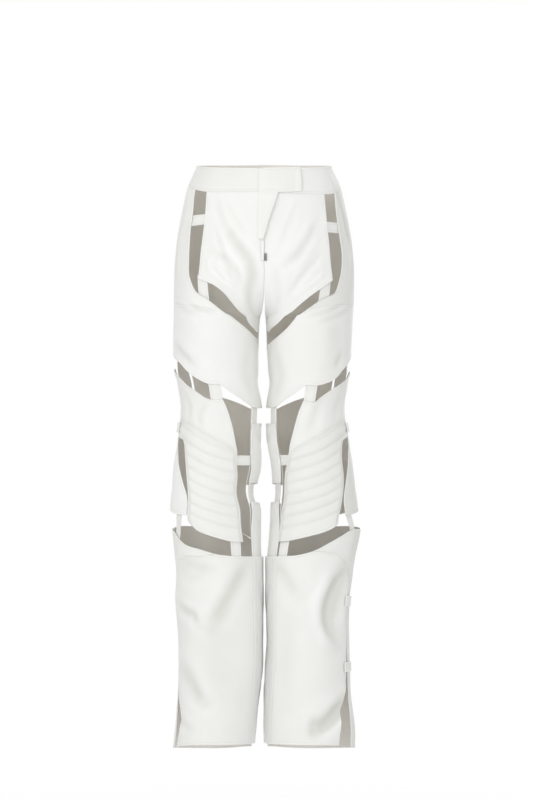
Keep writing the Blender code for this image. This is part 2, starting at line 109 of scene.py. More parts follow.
Leg = namedtuple("Leg", "height right_centre right_half_width left_centre left_half_width "
                        "half_depth centre_y")
LEG_SECTIONS = [
    Leg(-150, 84, 81, 84, 81, 104, 6),
    Leg(-225, 86, 79.5, 82, 80, 98, 6),
    Leg(-300, 88.5, 78.5, 82, 78, 90, 6),
    Leg(-350, 88, 77, 82.5, 75, 84, 5),
    Leg(-371, 85.5, 73.5, 81.5, 71.5, 82, 4),
    Leg(-417, 78.5, 74.5, 75, 72, 77, 3),
    Leg(-476, 82, 76, 79, 75, 75, 1),
    Leg(-523, 86, 80, 87.5, 74.5, 76, 1),
    Leg(-570, 92, 78, 91, 77, 78, 3),
    Leg(-605, 88.5, 83.5, 91, 81, 79, 6),
    Leg(-640, 86.5, 82, 92, 84, 80, 8),
    Leg(-688, 83, 81, 84.5, 82.5, 81, 10),
    Leg(-723, 81.5, 80, 82, 80, 81, 11),
    Leg(-769, 82, 80.5, 79, 77, 81, 12),
    Leg(-842, 79.5, 78, 79.5, 76, 82, 13),
    Leg(-898, 80, 77, 79, 78, 83, 14),
    Leg(-946, 84, 75.5, 79, 80.5, 84, 15),
    Leg(-1003, 88.5, 74.5, 82, 84, 86, 16),
    Leg(-1052, 94, 75, 83, 83, 87, 17),
]

# Lines that several pieces share, as (turn, height)
WAIST_TOP = [(0, 14), (90, 18), (180, 26), (270, 31), (360, 34)]
WAIST_LINE = {
    RIGHT: [(0, -29), (90, -27), (125, -21), (180, -12), (270, -8), (360, -6)],
    LEFT: [(0, -30), (40, -31), (97, -31), (125, -27.5), (165, -17.5), (SIDE_SEAM, -10.2)],
}
HIP_SEAM = [(73.5, -240.5), (92, -237), (118, -232), (160, -228), (SIDE_SEAM, -226)]
SEAT_SEAM = [(SIDE_SEAM, -226), (270, -235), (330, -252), (360, -264)]
KNEE_SEAM = [(68, -492), (98, -471), (114, -461), (131, -450), (150, -442), (178, -437)]
HEM = [(-22, -1036), (0, -1032), (60, -1027), (120, -1028), (180, -1041), (270, -1052), (338, -1042)]

# Where the knee seam starts and the calf's outer slit lies on each leg, which stand turned differently
KNEE_SEAM_START = {RIGHT: (63, -496), LEFT: (59, -497)}
CALF_SLIT = {RIGHT: 162, LEFT: 150}

# The turns of the knee pad's two edges and of the knee back's outer edge, which differ between the legs
KneeEdge = namedtuple("KneeEdge", "height right_inner left_inner right_outer left_outer "
                                  "right_back left_back")
KNEE_EDGES = [
    KneeEdge(-520, 63, 51, 136, 139, 152, 152),
    KneeEdge(-545, 59, 45, 131, 137, 141, 143),
    KneeEdge(-582, 57, 44, 126, 130, 127.6, 133),
    KneeEdge(-620, 57, 41, 128, 121, 129.6, 134),
]
KNEE_BACK_CORNER = -612
PAD_BOTTOM = {
    RIGHT: [(73, -658.5), (85, -654), (95, -649.5), (112, -640.5), (120, -634)],
    LEFT: [(57, -658), (86, -648), (107, -638), (120, -627)],
}

# The line that the knee pad's ribs follow on each leg, and the valleys between them: how many there are,
# the step from one to the next, and the lowest one's height above that line. Their stitching puckers the
# leather.
RIB_LINE = {
    RIGHT: [(40, -661), (57, -660), (73, -657.5), (86, -653), (107, -643), (120, -635), (172, -603)],
    LEFT: [(36, -661), (57, -657), (72, -653), (86, -648), (107, -638), (120, -630), (172, -598)],
}
VALLEY_COUNT = 8
VALLEY_STEP = 20.0
LOWEST_VALLEY = 24.6
RIB_ROUNDNESS = 0.45
PUCKER_HEIGHT = 0.16
PUCKER_LENGTH = 1.15

# How far in from the pad's sides its ribs start, and over how long a way they rise there and below the seam
RIB_MARGIN = 4.5
RIB_RISE = 4
RIB_RISE_BELOW_SEAM = 20

# Soft creases and folds: a trough with raised shoulders along a line of (turn, height), with the wearer's
# side, or 0 for both legs. Reach is half its width, and depth is how far it presses in; a negative one
# stands out. At its ends a crease has only a share of its depth. A shoulder's height is a share of the depth
# too, and its place and width are in reaches.
CREASE_END_SHARE = 0.35
SHOULDER_HEIGHT = 0.22
SHOULDER_PLACE = 1.9
SHOULDER_WIDTH = 0.8
Crease = namedtuple("Crease", "side reach depth line")
CREASES = [
    # The folds that the frame has, of which the fourth is softer and wider here
    Crease(RIGHT, 12, 3.0, [(52, -700), (101, -815)]),
    Crease(RIGHT, 12, 3.0, [(152, -888), (110, -955)]),
    Crease(RIGHT, 10, 2.0, [(122, -338), (158, -304)]),
    Crease(LEFT, 14, 1.6, [(38, -695), (77, -759)]),
    Crease(LEFT, 18, 5.0, [(137, -720), (116, -804)]),
    Crease(LEFT, 16, 4.0, [(136, -957), (92, -1002)]),
    Crease(LEFT, 10, 2.0, [(129, -344), (141, -319)]),
    Crease(0, 16, 4.0, [(250, -730), (290, -830)]),
    Crease(0, 16, 4.0, [(300, -900), (240, -980)]),
    Crease(0, 14, 3.0, [(215, -240), (300, -300)]),
    # Hips, front
    Crease(RIGHT, 8, 1.5, [(74, -34), (64, -66), (51, -95), (33, -128)]),
    Crease(RIGHT, 9, 4.0, [(44, -106), (30, -132), (18, -153), (16, -180), (26, -252)]),
    Crease(RIGHT, 5, 1.2, [(70, -88), (55, -137), (39, -205)]),
    Crease(RIGHT, 6, 0.9, [(60, -40), (40, -78), (24, -112)]),
    Crease(RIGHT, 7, 1.0, [(10, -160), (8, -230)]),
    Crease(RIGHT, 4, -1.1, [(67, -141), (76, -154), (73, -171), (56, -190), (38, -208)]),
    Crease(RIGHT, 3, -1.0, [(58, -152), (62, -164), (52, -182), (36, -198)]),
    Crease(RIGHT, 7, 1.7, [(70, -134), (50, -150), (34, -178), (30, -206)]),
    Crease(LEFT, 8, 2.8, [(80, -80), (62, -112), (44, -142), (28, -160)]),
    Crease(LEFT, 7, 1.1, [(84, -96), (66, -140), (48, -176)]),
    Crease(LEFT, 6, 0.8, [(48, -48), (30, -96), (18, -140)]),
    Crease(LEFT, 7, 1.1, [(14, -160), (20, -200), (28, -246)]),
    Crease(LEFT, 4, -1.1, [(70, -148), (82, -166), (83, -177), (72, -190), (48, -214)]),
    Crease(LEFT, 6, 1.7, [(80, -134), (66, -158), (48, -186), (38, -212)]),
    # Hips, sides and seat
    Crease(RIGHT, 10, 1.2, [(150, -50), (164, -110), (158, -190)]),
    Crease(LEFT, 10, 1.5, [(148, -66), (160, -130), (152, -196)]),
    Crease(RIGHT, 5, 2.2, [(122, -231), (106, -240), (86, -246)]),
    Crease(RIGHT, 6, 1.6, [(146, -236), (126, -243), (108, -246)]),
    Crease(LEFT, 5, 2.4, [(130, -232), (108, -244), (84, -251)]),
    Crease(LEFT, 6, 2.0, [(150, -238), (126, -250), (100, -262)]),
    Crease(LEFT, 5, 1.4, [(126, 14), (130, -8), (126, -26)]),
    Crease(LEFT, 8, 2.2, [(134, -14), (142, -60), (149, -130)]),
    Crease(RIGHT, 12, 2.2, [(330, -190), (290, -214), (246, -208)]),
    Crease(LEFT, 12, 2.4, [(336, -184), (296, -216), (240, -204)]),
    Crease(RIGHT, 9, 1.4, [(344, -70), (318, -120), (292, -150)]),
    Crease(LEFT, 9, 1.2, [(340, -58), (322, -104), (300, -146)]),
    # Thighs
    Crease(RIGHT, 11, 1.0, [(40, -300), (46, -350), (30, -400)]),
    Crease(LEFT, 11, 1.2, [(34, -306), (44, -356), (34, -404)]),
    Crease(RIGHT, 5, 1.3, [(158, -304), (142, -318), (122, -339)]),
    Crease(LEFT, 5, 1.3, [(139, -319), (134, -332), (129, -344)]),
    Crease(LEFT, 14, 1.2, [(122, -252), (128, -300), (118, -344)]),
    Crease(0, 9, 1.6, [(346, -300), (300, -322), (262, -318)]),
    Crease(0, 7, 1.0, [(352, -350), (322, -352), (290, -338)]),
    # Knees
    Crease(RIGHT, 7, 1.5, [(110, -404), (122, -432), (118, -452)]),
    Crease(RIGHT, 6, 1.4, [(148, -392), (140, -414), (142, -438)]),
    Crease(LEFT, 9, 1.8, [(112, -398), (104, -430), (92, -462)]),
    Crease(LEFT, 7, 1.0, [(150, -368), (146, -402), (134, -438)]),
    Crease(RIGHT, 8, 1.2, [(205, -400), (190, -448), (176, -500)]),
    Crease(0, 9, 2.0, [(206, -470), (244, -486), (296, -474)]),
    Crease(0, 8, 1.7, [(190, -520), (236, -512), (300, -524)]),
    Crease(0, 9, 1.4, [(176, -566), (228, -556), (290, -576)]),
    Crease(0, 6, 1.0, [(30, -462), (4, -480), (-12, -500)]),
    Crease(0, 6, 0.9, [(28, -612), (8, -640), (20, -672)]),
    # Calves, front
    Crease(RIGHT, 17, 1.3, [(46, -690), (66, -726), (76, -764), (90, -800), (103, -822)]),
    Crease(RIGHT, 10, 1.3, [(152, -710), (128, -722), (102, -718)]),
    Crease(RIGHT, 28, 1.6, [(84, -800), (94, -850), (90, -930)]),
    Crease(RIGHT, 8, 3.2, [(154, -776), (140, -786), (126, -792), (119, -812)]),
    Crease(RIGHT, 9, 1.0, [(149, -884), (134, -892), (124, -915), (117, -942), (104, -958)]),
    Crease(RIGHT, 7, 1.3, [(152, -979), (140, -992), (124, -1000)]),
    Crease(RIGHT, 9, 2.2, [(144, -698), (124, -703), (98, -708)]),
    Crease(LEFT, 8, 0.7, [(42, -700), (56, -720), (68, -741), (77, -759)]),
    Crease(LEFT, 15, 4.0, [(140, -706), (128, -736), (119, -770), (119, -806), (131, -850)]),
    Crease(LEFT, 8, 2.2, [(141, -716), (124, -752), (117, -790), (121, -822), (134, -852)]),
    Crease(LEFT, 9, -1.2, [(116, -724), (103, -764), (102, -802), (112, -842)]),
    Crease(LEFT, 12, 6.0, [(144, -950), (132, -968), (118, -987), (100, -1004)]),
    Crease(LEFT, 8, -3.2, [(150, -964), (135, -981), (120, -997), (103, -1013)]),
    Crease(LEFT, 6, 1.8, [(97, -976), (93, -992), (93, -1012)]),
    Crease(LEFT, 14, 1.0, [(66, -800), (58, -880), (62, -960)]),
    # Calves, back and inside
    Crease(0, 11, 2.2, [(200, -690), (232, -742), (262, -776)]),
    Crease(0, 10, 1.8, [(322, -706), (290, -760), (284, -812)]),
    Crease(RIGHT, 13, 2.4, [(190, -850), (230, -884), (282, -880)]),
    Crease(LEFT, 13, 2.4, [(196, -834), (236, -862), (292, -872)]),
    Crease(0, 12, 2.0, [(318, -930), (276, -968), (240, -1016)]),
    Crease(0, 8, 1.2, [(24, -740), (4, -800), (10, -860)]),
    Crease(0, 8, 1.2, [(-14, -880), (6, -930), (2, -986)]),
]


def smooth_columns(rows, places, columns):
    """Values of a table's columns at places along its first column, on smooth curves through the rows."""
    table = np.array(sorted(tuple(row) for row in rows), float)
    at, values = table[:, 0], table[:, columns]
    last = len(at) - 1
    before = np.maximum(np.arange(last + 1) - 1, 0)
    after = np.minimum(np.arange(last + 1) + 1, last)
    slopes = (values[after] - values[before]) / (at[after] - at[before])[:, None]
    places = np.clip(places, at[0], at[-1])
    low = np.clip(np.searchsorted(at, places, side="right") - 1, 0, last - 1)
    span = at[low + 1] - at[low]
    t = ((places - at[low]) / span)[..., None]
    span = span[..., None]
    blend = t * t * (3 - 2 * t)
    rise = (t - 2 * t * t + t ** 3) * slopes[low] * span + (t ** 3 - t * t) * slopes[low + 1] * span
    return values[low] * (1 - blend) + values[low + 1] * blend + rise


def ease(t):
    t = np.clip(t, 0, 1)
    return t * t * (3 - 2 * t)


def leg_share(turn, height):
    """How far a place has left the hip ring for the leg ring, from 0 to 1. The fork is a round U."""
    down = np.clip((FORK_TOP - height) / (FORK_TOP - FORK), 0, 1)
    at_centre = 1 - np.sqrt(1 - down * down)
    at_side = ease((HIP_SPLIT_TOP - height) / HIP_SPLIT_DEPTH)
    nearness = np.abs(np.cos(np.radians(turn / 2))) ** 3
    return at_centre * nearness + at_side * (1 - nearness)


def form(side, turn, height):
    """The form's surface at turns and heights, in millimetres."""
    hip = smooth_columns(HIP_SECTIONS, height, [1, 2, 3])
    half_width, half_depth, centre_y = np.moveaxis(hip, -1, 0)
    hip_angle = np.radians(turn / 2)
    hip_x = half_width * np.sin(hip_angle)
    hip_y = centre_y - half_depth * np.cos(hip_angle)
    columns = [1, 2, 5, 6] if side == RIGHT else [3, 4, 5, 6]
    leg = smooth_columns(LEG_SECTIONS, height, columns)
    centre, half_width, half_depth, centre_y = np.moveaxis(leg, -1, 0)
    leg_angle = np.radians(turn)
    leg_x = centre - half_width * np.cos(leg_angle)
    leg_y = centre_y - half_depth * np.sin(leg_angle)
    share = leg_share(turn, height)
    x = side * (hip_x * (1 - share) + leg_x * share)
    y = hip_y * (1 - share) + leg_y * share
    return np.stack([x, y, height], axis=-1)


def crease_depth(side, turn, height):
    """How far the creases near each place press it in, in millimetres."""
    depth = np.zeros_like(turn)
    for crease in CREASES:
        if crease.side not in (0, side):
            continue
        line = np.array(crease.line, float) * (MM_PER_DEGREE, 1)
        steps = np.linalg.norm(np.diff(line, axis=0), axis=1)
        nearest = np.full(turn.shape, np.inf)
        travelled = np.zeros_like(turn)
        for start, end, length, done in zip(line, line[1:], steps, np.cumsum(steps) - steps):
            along_x, along_z = (end - start) / length
            to_x, to_z = turn * MM_PER_DEGREE - start[0], height - start[1]
            travel = np.clip(to_x * along_x + to_z * along_z, 0, length)
            distance = np.hypot(to_x - travel * along_x, to_z - travel * along_z)
            closer = distance < nearest
            nearest = np.where(closer, distance, nearest)
            travelled = np.where(closer, done + travel, travelled)
        reached = travelled / steps.sum()
        taper = CREASE_END_SHARE + (1 - CREASE_END_SHARE) * ease(4 * np.minimum(reached, 1 - reached))
        spread = nearest / crease.reach
        shoulder = SHOULDER_HEIGHT * np.exp(-((spread - SHOULDER_PLACE) / SHOULDER_WIDTH) ** 2)
        depth += crease.depth * taper * (np.exp(-spread * spread) - shoulder)
    return depth


def slack(turn, height):
    """Slow, shallow unevenness of leather that hangs on a body, in millimetres."""
    around = turn * MM_PER_DEGREE
    return (0.30 * np.sin(around / 17 + 1.3 * np.sin(height / 31))
            + 0.26 * np.sin(height / 21 + 1.7 * np.sin(around / 43) + 0.8)
            + 0.12 * np.sin(around / 7.3 - height / 9.1))


def surface(side, turn, height, lift):
    """Points moved out from the form by a lift, less creases and slack, in metres."""
    step = 1.0
    round_leg = form(side, turn + step, height) - form(side, turn - step, height)
    upward = form(side, turn, height + step) - form(side, turn, height - step)
    outward = np.cross(round_leg, upward) * side
    outward /= np.linalg.norm(outward, axis=-1, keepdims=True)
    rise = lift - crease_depth(side, turn, height) + slack(turn, height)
    return (form(side, turn, height) + outward * rise[..., None]) * MM


def stretch(line, first, last, drop=0.0):
    """The part of a shared line between two turns, lowered by the drop, in points about 10 degrees apart."""
    count = max(1, round((last - first) / 10))
    turns = np.linspace(first, last, count + 1)
    heights = smooth_columns(line, turns, [1])[:, 0] - drop
    return list(zip(turns.tolist(), heights.tolist()))


def round_back(line, first):
    """The line from a turn on the left leg over the centre back to the same turn on the right."""
    half = stretch(line, first, 360)
    return half + [(720 - turn, height) for turn, height in reversed(half[:-1])]


def along(points, fractions):
    """The places at fractions of the way along an edge, on a smooth curve through its points."""
    points = np.array(points, float)
    steps = np.linalg.norm(np.diff(points, axis=0) * (MM_PER_DEGREE, 1), axis=1)
    reach = np.concatenate([[0], np.cumsum(steps)])
    return smooth_columns(np.column_stack([reach, points]), fractions * reach[-1], [1, 2])


# A panel's four edges, as (turn, height). Top and bottom run from the lower turn to the higher and hold
# the corners. First and last are the points between the corners, from top to bottom. The lift is how far
# the piece stands out from the form at its top edge, and low_lift the same at its bottom.
# Sewn says where an edge is sewn to a neighbour: a range of turns for top and bottom, and of heights for
# first and last, or ALL of it. Elsewhere the edge is turned and finished. Plain names the edges without a
# row of stitches, and double those with two; flat names those where the seam hardly shows. Curl is how far
# the last edge stands away from what lies under it, and sink and low_sink are how far the first edge settles
# at its top and bottom. Both fade over the curl's reach.
Panel = namedtuple("Panel", "top bottom first last lift low_lift sewn plain double flat curl sink low_sink",
                   defaults=([], [], 0, 0, {}, (), (), (), 0, 0, 0))
CURL_REACH = 12
ALL = (-9999, 9999)


def panel_place(panel, across, up):
    """The turns and heights inside a panel, filled in between its four edges."""
    top, bottom = along(panel.top, across), along(panel.bottom, across)
    first = along([panel.top[0], *panel.first, panel.bottom[0]], 1 - up)
    last = along([panel.top[-1], *panel.last, panel.bottom[-1]], 1 - up)
    across, up = across[..., None], up[..., None]
    edges = bottom * (1 - up) + top * up + first * (1 - across) + last * across
    low, high = np.array([panel.bottom[0], panel.bottom[-1]]), np.array([panel.top[0], panel.top[-1]])
    low_side = low[0] * (1 - across) + low[1] * across
    high_side = high[0] * (1 - across) + high[1] * across
    corners = low_side * (1 - up) + high_side * up
    return np.moveaxis(edges - corners, -1, 0)


# Where grid lines lie beside an edge, in millimetres from it, to shape its rounding and one or two rows of
# stitches. On a short stretch they take up no more than a share of it. Other lines count as far from it.
STITCH_LINE = 4.0
SECOND_STITCH_LINE = 10.0
RAILS = [0, 0.4, 1.0, 1.8, 2.8, 3.5, STITCH_LINE, 4.5, 5.3, 7.0]
DOUBLE_RAILS = RAILS + [8.6, 9.5, SECOND_STITCH_LINE, 10.5, 11.4, 13.0]
LARGEST_RAIL_SHARE = 0.84
FAR = 99.0
EDGES = ("bottom", "top", "first", "last")

# Shape of the leather beside an edge, in millimetres: it rolls down into a seam, or is turned over, rounded
# and raised over a hem, and each row of stitches pulls it in. The rim swells a little between the two skins.
ROLL_DEPTH = 0.6
FLAT_ROLL_DEPTH = 0.2
ROLL_REACH = 2.2
ROUNDING_DEPTH = 0.5
INNER_ROUNDING_DEPTH = 0.4
ROUNDING_REACH = 1.0
HEM_RISE = 0.3
HEM_WIDTH = 3.2
HEM_SLOPE = 2.6
STITCH_DEPTH = 0.42
SECOND_STITCH_DEPTH = 0.8
STITCH_REACH = 0.75
PAINTED_WIDTH = 0.4
RIM_SWELL = 0.22

# How many lines a panel is first measured on, and how many times its grid lines are then settled on it
MEASURING_LINES = 25
SETTLING_ROUNDS = 5


def grid_lines(near, far, count):
    """Grid lines between two edges, as (part of the rails' size, part of the whole length) for each line."""
    near, far = np.array(near), np.array(far)
    inside = np.arange(1, count) / count
    sizes = np.concatenate([near, near[-1] * (1 - inside) - far[-1] * inside, -far[::-1]])
    shares = np.concatenate([np.zeros(len(near)), inside, np.ones(len(far))])
    return sizes, shares


def line_place(sizes, shares, length, widest):
    """Where grid lines lie between 0 and 1 on a stretch of a length. Rails shrink where it is short."""
    shrink = np.minimum(1, LARGEST_RAIL_SHARE * length / widest)
    return (sizes * shrink + shares * length) / length, shrink


def is_sewn(panel, edge, turn, height):
    """1 where a panel's edge is sewn to its neighbour, and 0 where it is free."""
    low, high = panel.sewn.get(edge, (1, 0))
    at = turn if edge in ("top", "bottom") else height
    return ((at >= low) & (at <= high)).astype(float)


def edge_profile(distance, sewn, plain, double, flat):
    """Rise of the leather near an edge: rolled into a seam, or turned and rounded, with its stitch rows."""
    roll_depth = FLAT_ROLL_DEPTH if flat else ROLL_DEPTH
    rolled = -roll_depth * np.clip(1 - distance / ROLL_REACH, 0, 1) ** 2
    hem = HEM_RISE * (1 - ease((distance - HEM_WIDTH) / HEM_SLOPE))
    turned = -ROUNDING_DEPTH * np.clip(1 - distance / ROUNDING_REACH, 0, 1) ** 2 + hem
    rise = rolled * sewn + turned * (1 - sewn)
    if not plain:
        rise = rise - STITCH_DEPTH * np.exp(-((distance - STITCH_LINE) / STITCH_REACH) ** 2)
    if double:
        rise = rise - SECOND_STITCH_DEPTH * np.exp(-((distance - SECOND_STITCH_LINE) / STITCH_REACH) ** 2)
    return rise


class Shell:
    """One sewn leather shell: its outer and inner skins, its rim, and the rows where stitches lie."""

    def __init__(self, side, panel, wall, cell, rib_height=0.0):
        coarse = np.linspace(0, 1, MEASURING_LINES)
        across, up = np.meshgrid(coarse, coarse, indexing="ij")
        flat = surface(side, *panel_place(panel, across, up), np.zeros_like(up)) / MM
        row_length = np.linalg.norm(np.diff(flat, axis=0), axis=-1).sum(0)
        column_length = np.linalg.norm(np.diff(flat, axis=1), axis=-1).sum(1)
        rails = {edge: DOUBLE_RAILS if edge in panel.double else RAILS for edge in EDGES}
        width, length = row_length.mean(), column_length.mean()
        span_across = width - rails["first"][-1] - rails["last"][-1]
        span_up = length - rails["bottom"][-1] - rails["top"][-1]
        cell_up = cell / 2 if rib_height else cell
        columns = grid_lines(rails["first"], rails["last"], max(1, round(span_across / cell)))
        rows = grid_lines(rails["bottom"], rails["top"], max(1, round(span_up / cell_up)))
        widest_row = rails["first"][-1] + rails["last"][-1]
        widest_column = rails["bottom"][-1] + rails["top"][-1]
        shape = (len(columns[0]), len(rows[0]))
        across, up = np.full(shape, 0.5), np.full(shape, 0.5)
        for _ in range(SETTLING_ROUNDS):
            local_row = np.interp(up, coarse, row_length)
            across, shrink_row = line_place(columns[0][:, None], columns[1][:, None], local_row, widest_row)
            local_column = np.interp(across, coarse, column_length)
            up, shrink_column = line_place(rows[0][None], rows[1][None], local_column, widest_column)
        turn, height = panel_place(panel, across, up)

        ranks = {
            "first": np.broadcast_to(self.ranks(rails["first"], shape[0])[:, None], shape),
            "last": np.broadcast_to(self.ranks(rails["last"], shape[0])[::-1, None], shape),
            "bottom": np.broadcast_to(self.ranks(rails["bottom"], shape[1])[None], shape),
            "top": np.broadcast_to(self.ranks(rails["top"], shape[1])[None, ::-1], shape),
        }
        shrink = {"first": shrink_row, "last": shrink_row, "bottom": shrink_column, "top": shrink_column}
        self.sewn = {edge: is_sewn(panel, edge, turn, height) for edge in EDGES}
        base = panel.lift * up + panel.low_lift * (1 - up)
        profile = sum(shrink[edge] * edge_profile(ranks[edge], self.sewn[edge], edge in panel.plain,
                                                  edge in panel.double, edge in panel.flat)
                      for edge in EDGES)
        from_first, from_last = across * local_row, (1 - across) * local_row
        from_top = (1 - up) * local_column
        base = base + panel.curl * (1 - ease(from_last / CURL_REACH)) * ease(from_top / CURL_REACH)
        base = base - (panel.sink * up + panel.low_sink * (1 - up)) * (1 - ease(from_first / CURL_REACH))
        quilting = 0.0
        if rib_height:
            from_side = np.minimum(from_first, from_last)
            quilting = self.ribs(rib_height, side, turn, height, from_side, from_top)
        self.edge = np.minimum.reduce(list(ranks.values()))
        inner_rounding = INNER_ROUNDING_DEPTH * np.clip(1 - self.edge / ROUNDING_REACH, 0, 1) ** 2
        self.outer = surface(side, turn, height, base + profile + quilting)
        self.inner = surface(side, turn, height, base - wall + inner_rounding)
        # The crease depth, less the seams' and stitch rows' rise and part of the ribs: the mask of the
        # painted shade in creases, seams and rib valleys, which also dulls the leather
        self.crease = crease_depth(side, turn, height) - profile - 0.6 * quilting
        self.free_edge = np.minimum.reduce([ranks[edge] + FAR * self.sewn[edge] for edge in EDGES])
        self.rails, self.side, self.panel, self.shape = rails, side, panel, shape
        self.width, self.length = width, length
        self.area = self.skin_area() * MM * MM

    @staticmethod
    def ranks(rails, count):
        """Each line's distance from the edge it starts at, or FAR for the lines past its rails."""
        ranks = np.full(count, FAR)
        ranks[:len(rails)] = rails
        return ranks

    @staticmethod
    def ribs(rib_height, side, turn, height, from_side, from_top):
        """Rise of the knee pad's quilted ribs and their stitching's puckers, which fade out at its edges."""
        rise = height - smooth_columns(RIB_LINE[side], turn, [1])[..., 0] - LOWEST_VALLEY
        valley = np.clip(np.round(rise / VALLEY_STEP), 0, VALLEY_COUNT - 1) * VALLEY_STEP
        wave = np.sin(math.pi / 2 * np.clip(np.abs(rise - valley) / VALLEY_STEP * 2, 0, 1))
        pucker = PUCKER_HEIGHT * np.sin(turn * MM_PER_DEGREE / PUCKER_LENGTH) * (1 - wave) ** 2
        fade = ease((from_side - RIB_MARGIN) / RIB_RISE) * ease(from_top / RIB_RISE_BELOW_SEAM)
        return (rib_height * wave ** RIB_ROUNDNESS + pucker) * fade

    def skin_area(self):
        """Area of the outer skin, in square millimetres."""
        grid = self.outer / MM
        a, b, c = grid[:-1, :-1], grid[1:, :-1], grid[:-1, 1:]
        return float(np.linalg.norm(np.cross(b - a, c - a), axis=-1).sum())

    def mesh_parts(self):
        """Points, faces, slots, and the crease and edge measures of the closed shell."""
        columns, rows = self.shape
        count = columns * rows
        index = np.arange(count).reshape(self.shape)
        quads = np.stack([index[:-1, :-1], index[1:, :-1], index[1:, 1:], index[:-1, 1:]], axis=-1)
        outer_quads = quads.reshape(-1, 4)
        inner_quads = outer_quads[:, ::-1] + count
        near_edge = np.maximum.reduce([self.free_edge[:-1, :-1], self.free_edge[1:, :-1],
                                       self.free_edge[1:, 1:], self.free_edge[:-1, 1:]])
        outer_slots = np.where(near_edge.reshape(-1) <= PAINTED_WIDTH, EDGE_SLOT, LEATHER_SLOT)

        loop = np.concatenate([index[:, 0], index[-1, 1:], index[-2::-1, -1], index[0, -2:0:-1]])
        inward = np.concatenate([index[:, 1], index[-2, 1:], index[-2::-1, -2], index[1, -2:0:-1]])
        outer, inner = self.outer.reshape(-1, 3), self.inner.reshape(-1, 3)
        push = outer[loop] - outer[inward]
        push /= np.maximum(np.linalg.norm(push, axis=1, keepdims=True), 1e-9)
        sewn_here = (self.free_edge.reshape(-1)[loop] >= FAR)[:, None]
        bead = (outer[loop] + inner[loop]) / 2 + push * np.where(sewn_here, 0.0, RIM_SWELL) * MM
        bead_index = 2 * count + np.arange(len(loop))
        next_loop, next_bead = np.roll(loop, -1), np.roll(bead_index, -1)
        upper = np.column_stack([loop, bead_index, next_bead, next_loop])
        lower = np.column_stack([bead_index, loop + count, next_loop + count, next_bead])

        points = np.concatenate([outer, inner, bead])
        faces = np.concatenate([outer_quads, inner_quads, upper, lower])
        if self.side == RIGHT:
            faces = faces[:, ::-1]
        slots = np.concatenate([outer_slots, np.full(len(inner_quads), LINING_SLOT),
                                np.full(len(upper) + len(lower), EDGE_SLOT)])
        crease = np.concatenate([self.crease.reshape(-1), np.zeros(count), np.zeros(len(loop))])
        edge = np.concatenate([self.edge.reshape(-1), np.full(count, FAR), np.zeros(len(loop))])
        return points, faces, slots, crease, edge

    def stitch_rows(self):
        """Lines of (points, outward directions) where the rows of stitches lie."""
        rows = []
        around, upward = np.gradient(self.outer, axis=0), np.gradient(self.outer, axis=1)
        outward = np.cross(around, upward) * self.side
        outward /= np.maximum(np.linalg.norm(outward, axis=-1, keepdims=True), 1e-9)
        start = {edge: self.rails[edge].index(STITCH_LINE) for edge in EDGES}
        middle_columns = slice(start["first"], self.shape[0] - start["last"])
        middle_rows = slice(start["bottom"], self.shape[1] - start["top"])
        for edge in EDGES:
            distances = [] if edge in self.panel.plain else [STITCH_LINE]
            if edge in self.panel.double:
                distances.append(SECOND_STITCH_LINE)
            for distance in distances:
                line = self.rails[edge].index(distance)
                line = line if edge in ("first", "bottom") else -1 - line
                cut = (line, middle_rows) if edge in ("first", "last") else (middle_columns, line)
                rows.append((self.outer[cut], outward[cut]))
        return rows


LEATHER_SLOT, LINING_SLOT, EDGE_SLOT = 0, 1, 2


def knee_edge(side, name):
    """Middle points of a knee edge on one leg, from top to bottom: inner or outer of the pad, or back."""
    leg = "right" if side == RIGHT else "left"
    return [(getattr(row, f"{leg}_{name}"), row.height) for row in KNEE_EDGES]


def waist_panels():
    """The waistband's three parts and the placket at the fly, with the side that each is laid on."""
    return {
        "waistband_right": (RIGHT, Panel(
            top=stretch(WAIST_TOP, 8.55, SIDE_SEAM), bottom=stretch(WAIST_LINE[RIGHT], 8.55, SIDE_SEAM),
            sewn={"first": ALL, "last": ALL, "bottom": ALL}, plain=("first", "last"), flat=("first",))),
        "waistband_left": (LEFT, Panel(
            top=stretch(WAIST_TOP, 0, SIDE_SEAM), bottom=stretch(WAIST_LINE[LEFT], 0, SIDE_SEAM),
            sewn={"last": ALL, "bottom": ALL}, plain=("first", "last"))),
        "waistband_back": (LEFT, Panel(
            top=round_back(WAIST_TOP, SIDE_SEAM + SEAM),
            bottom=round_back(WAIST_LINE[RIGHT], SIDE_SEAM + SEAM),
            sewn={"first": ALL, "last": ALL, "bottom": ALL}, plain=("first", "last"))),
        "fly_placket": (LEFT, Panel(
            top=[(-4, -117), (-0.5, -117)], bottom=[(-4, -153), (-0.5, -153)],
            lift=HIP_LAY_OVER + 0.6, low_lift=HIP_LAY_OVER + 0.6, plain=EDGES)),
    }


def fly_flap_panels():
    """The fly flap's two parts, which are sewn along the waist line: the waist tab and the fly facing."""
    return [
        Panel(top=[(-8.5, 14), (20, 15), (60, 17)], bottom=[(-8.5, -29), (20, -30), (53, -28)],
              lift=LAY_OVER, low_lift=LAY_OVER, sewn={"first": ALL, "bottom": (-20, 20)}, plain=("first",),
              flat=("first", "bottom"), curl=3.6, sink=3.0, low_sink=0.9),
        Panel(top=[(-8.5, -29.06), (20, -30.06)], bottom=[(-8.5, -114), (-1, -114)],
              last=[(12.6, -55), (6, -80)],
              lift=LAY_OVER, low_lift=LAY_OVER, sewn={"first": ALL, "top": ALL},
              plain=("first", "top", "bottom"),
              flat=("first", "top"), curl=4.6, sink=0.9, low_sink=0.9),
    ]


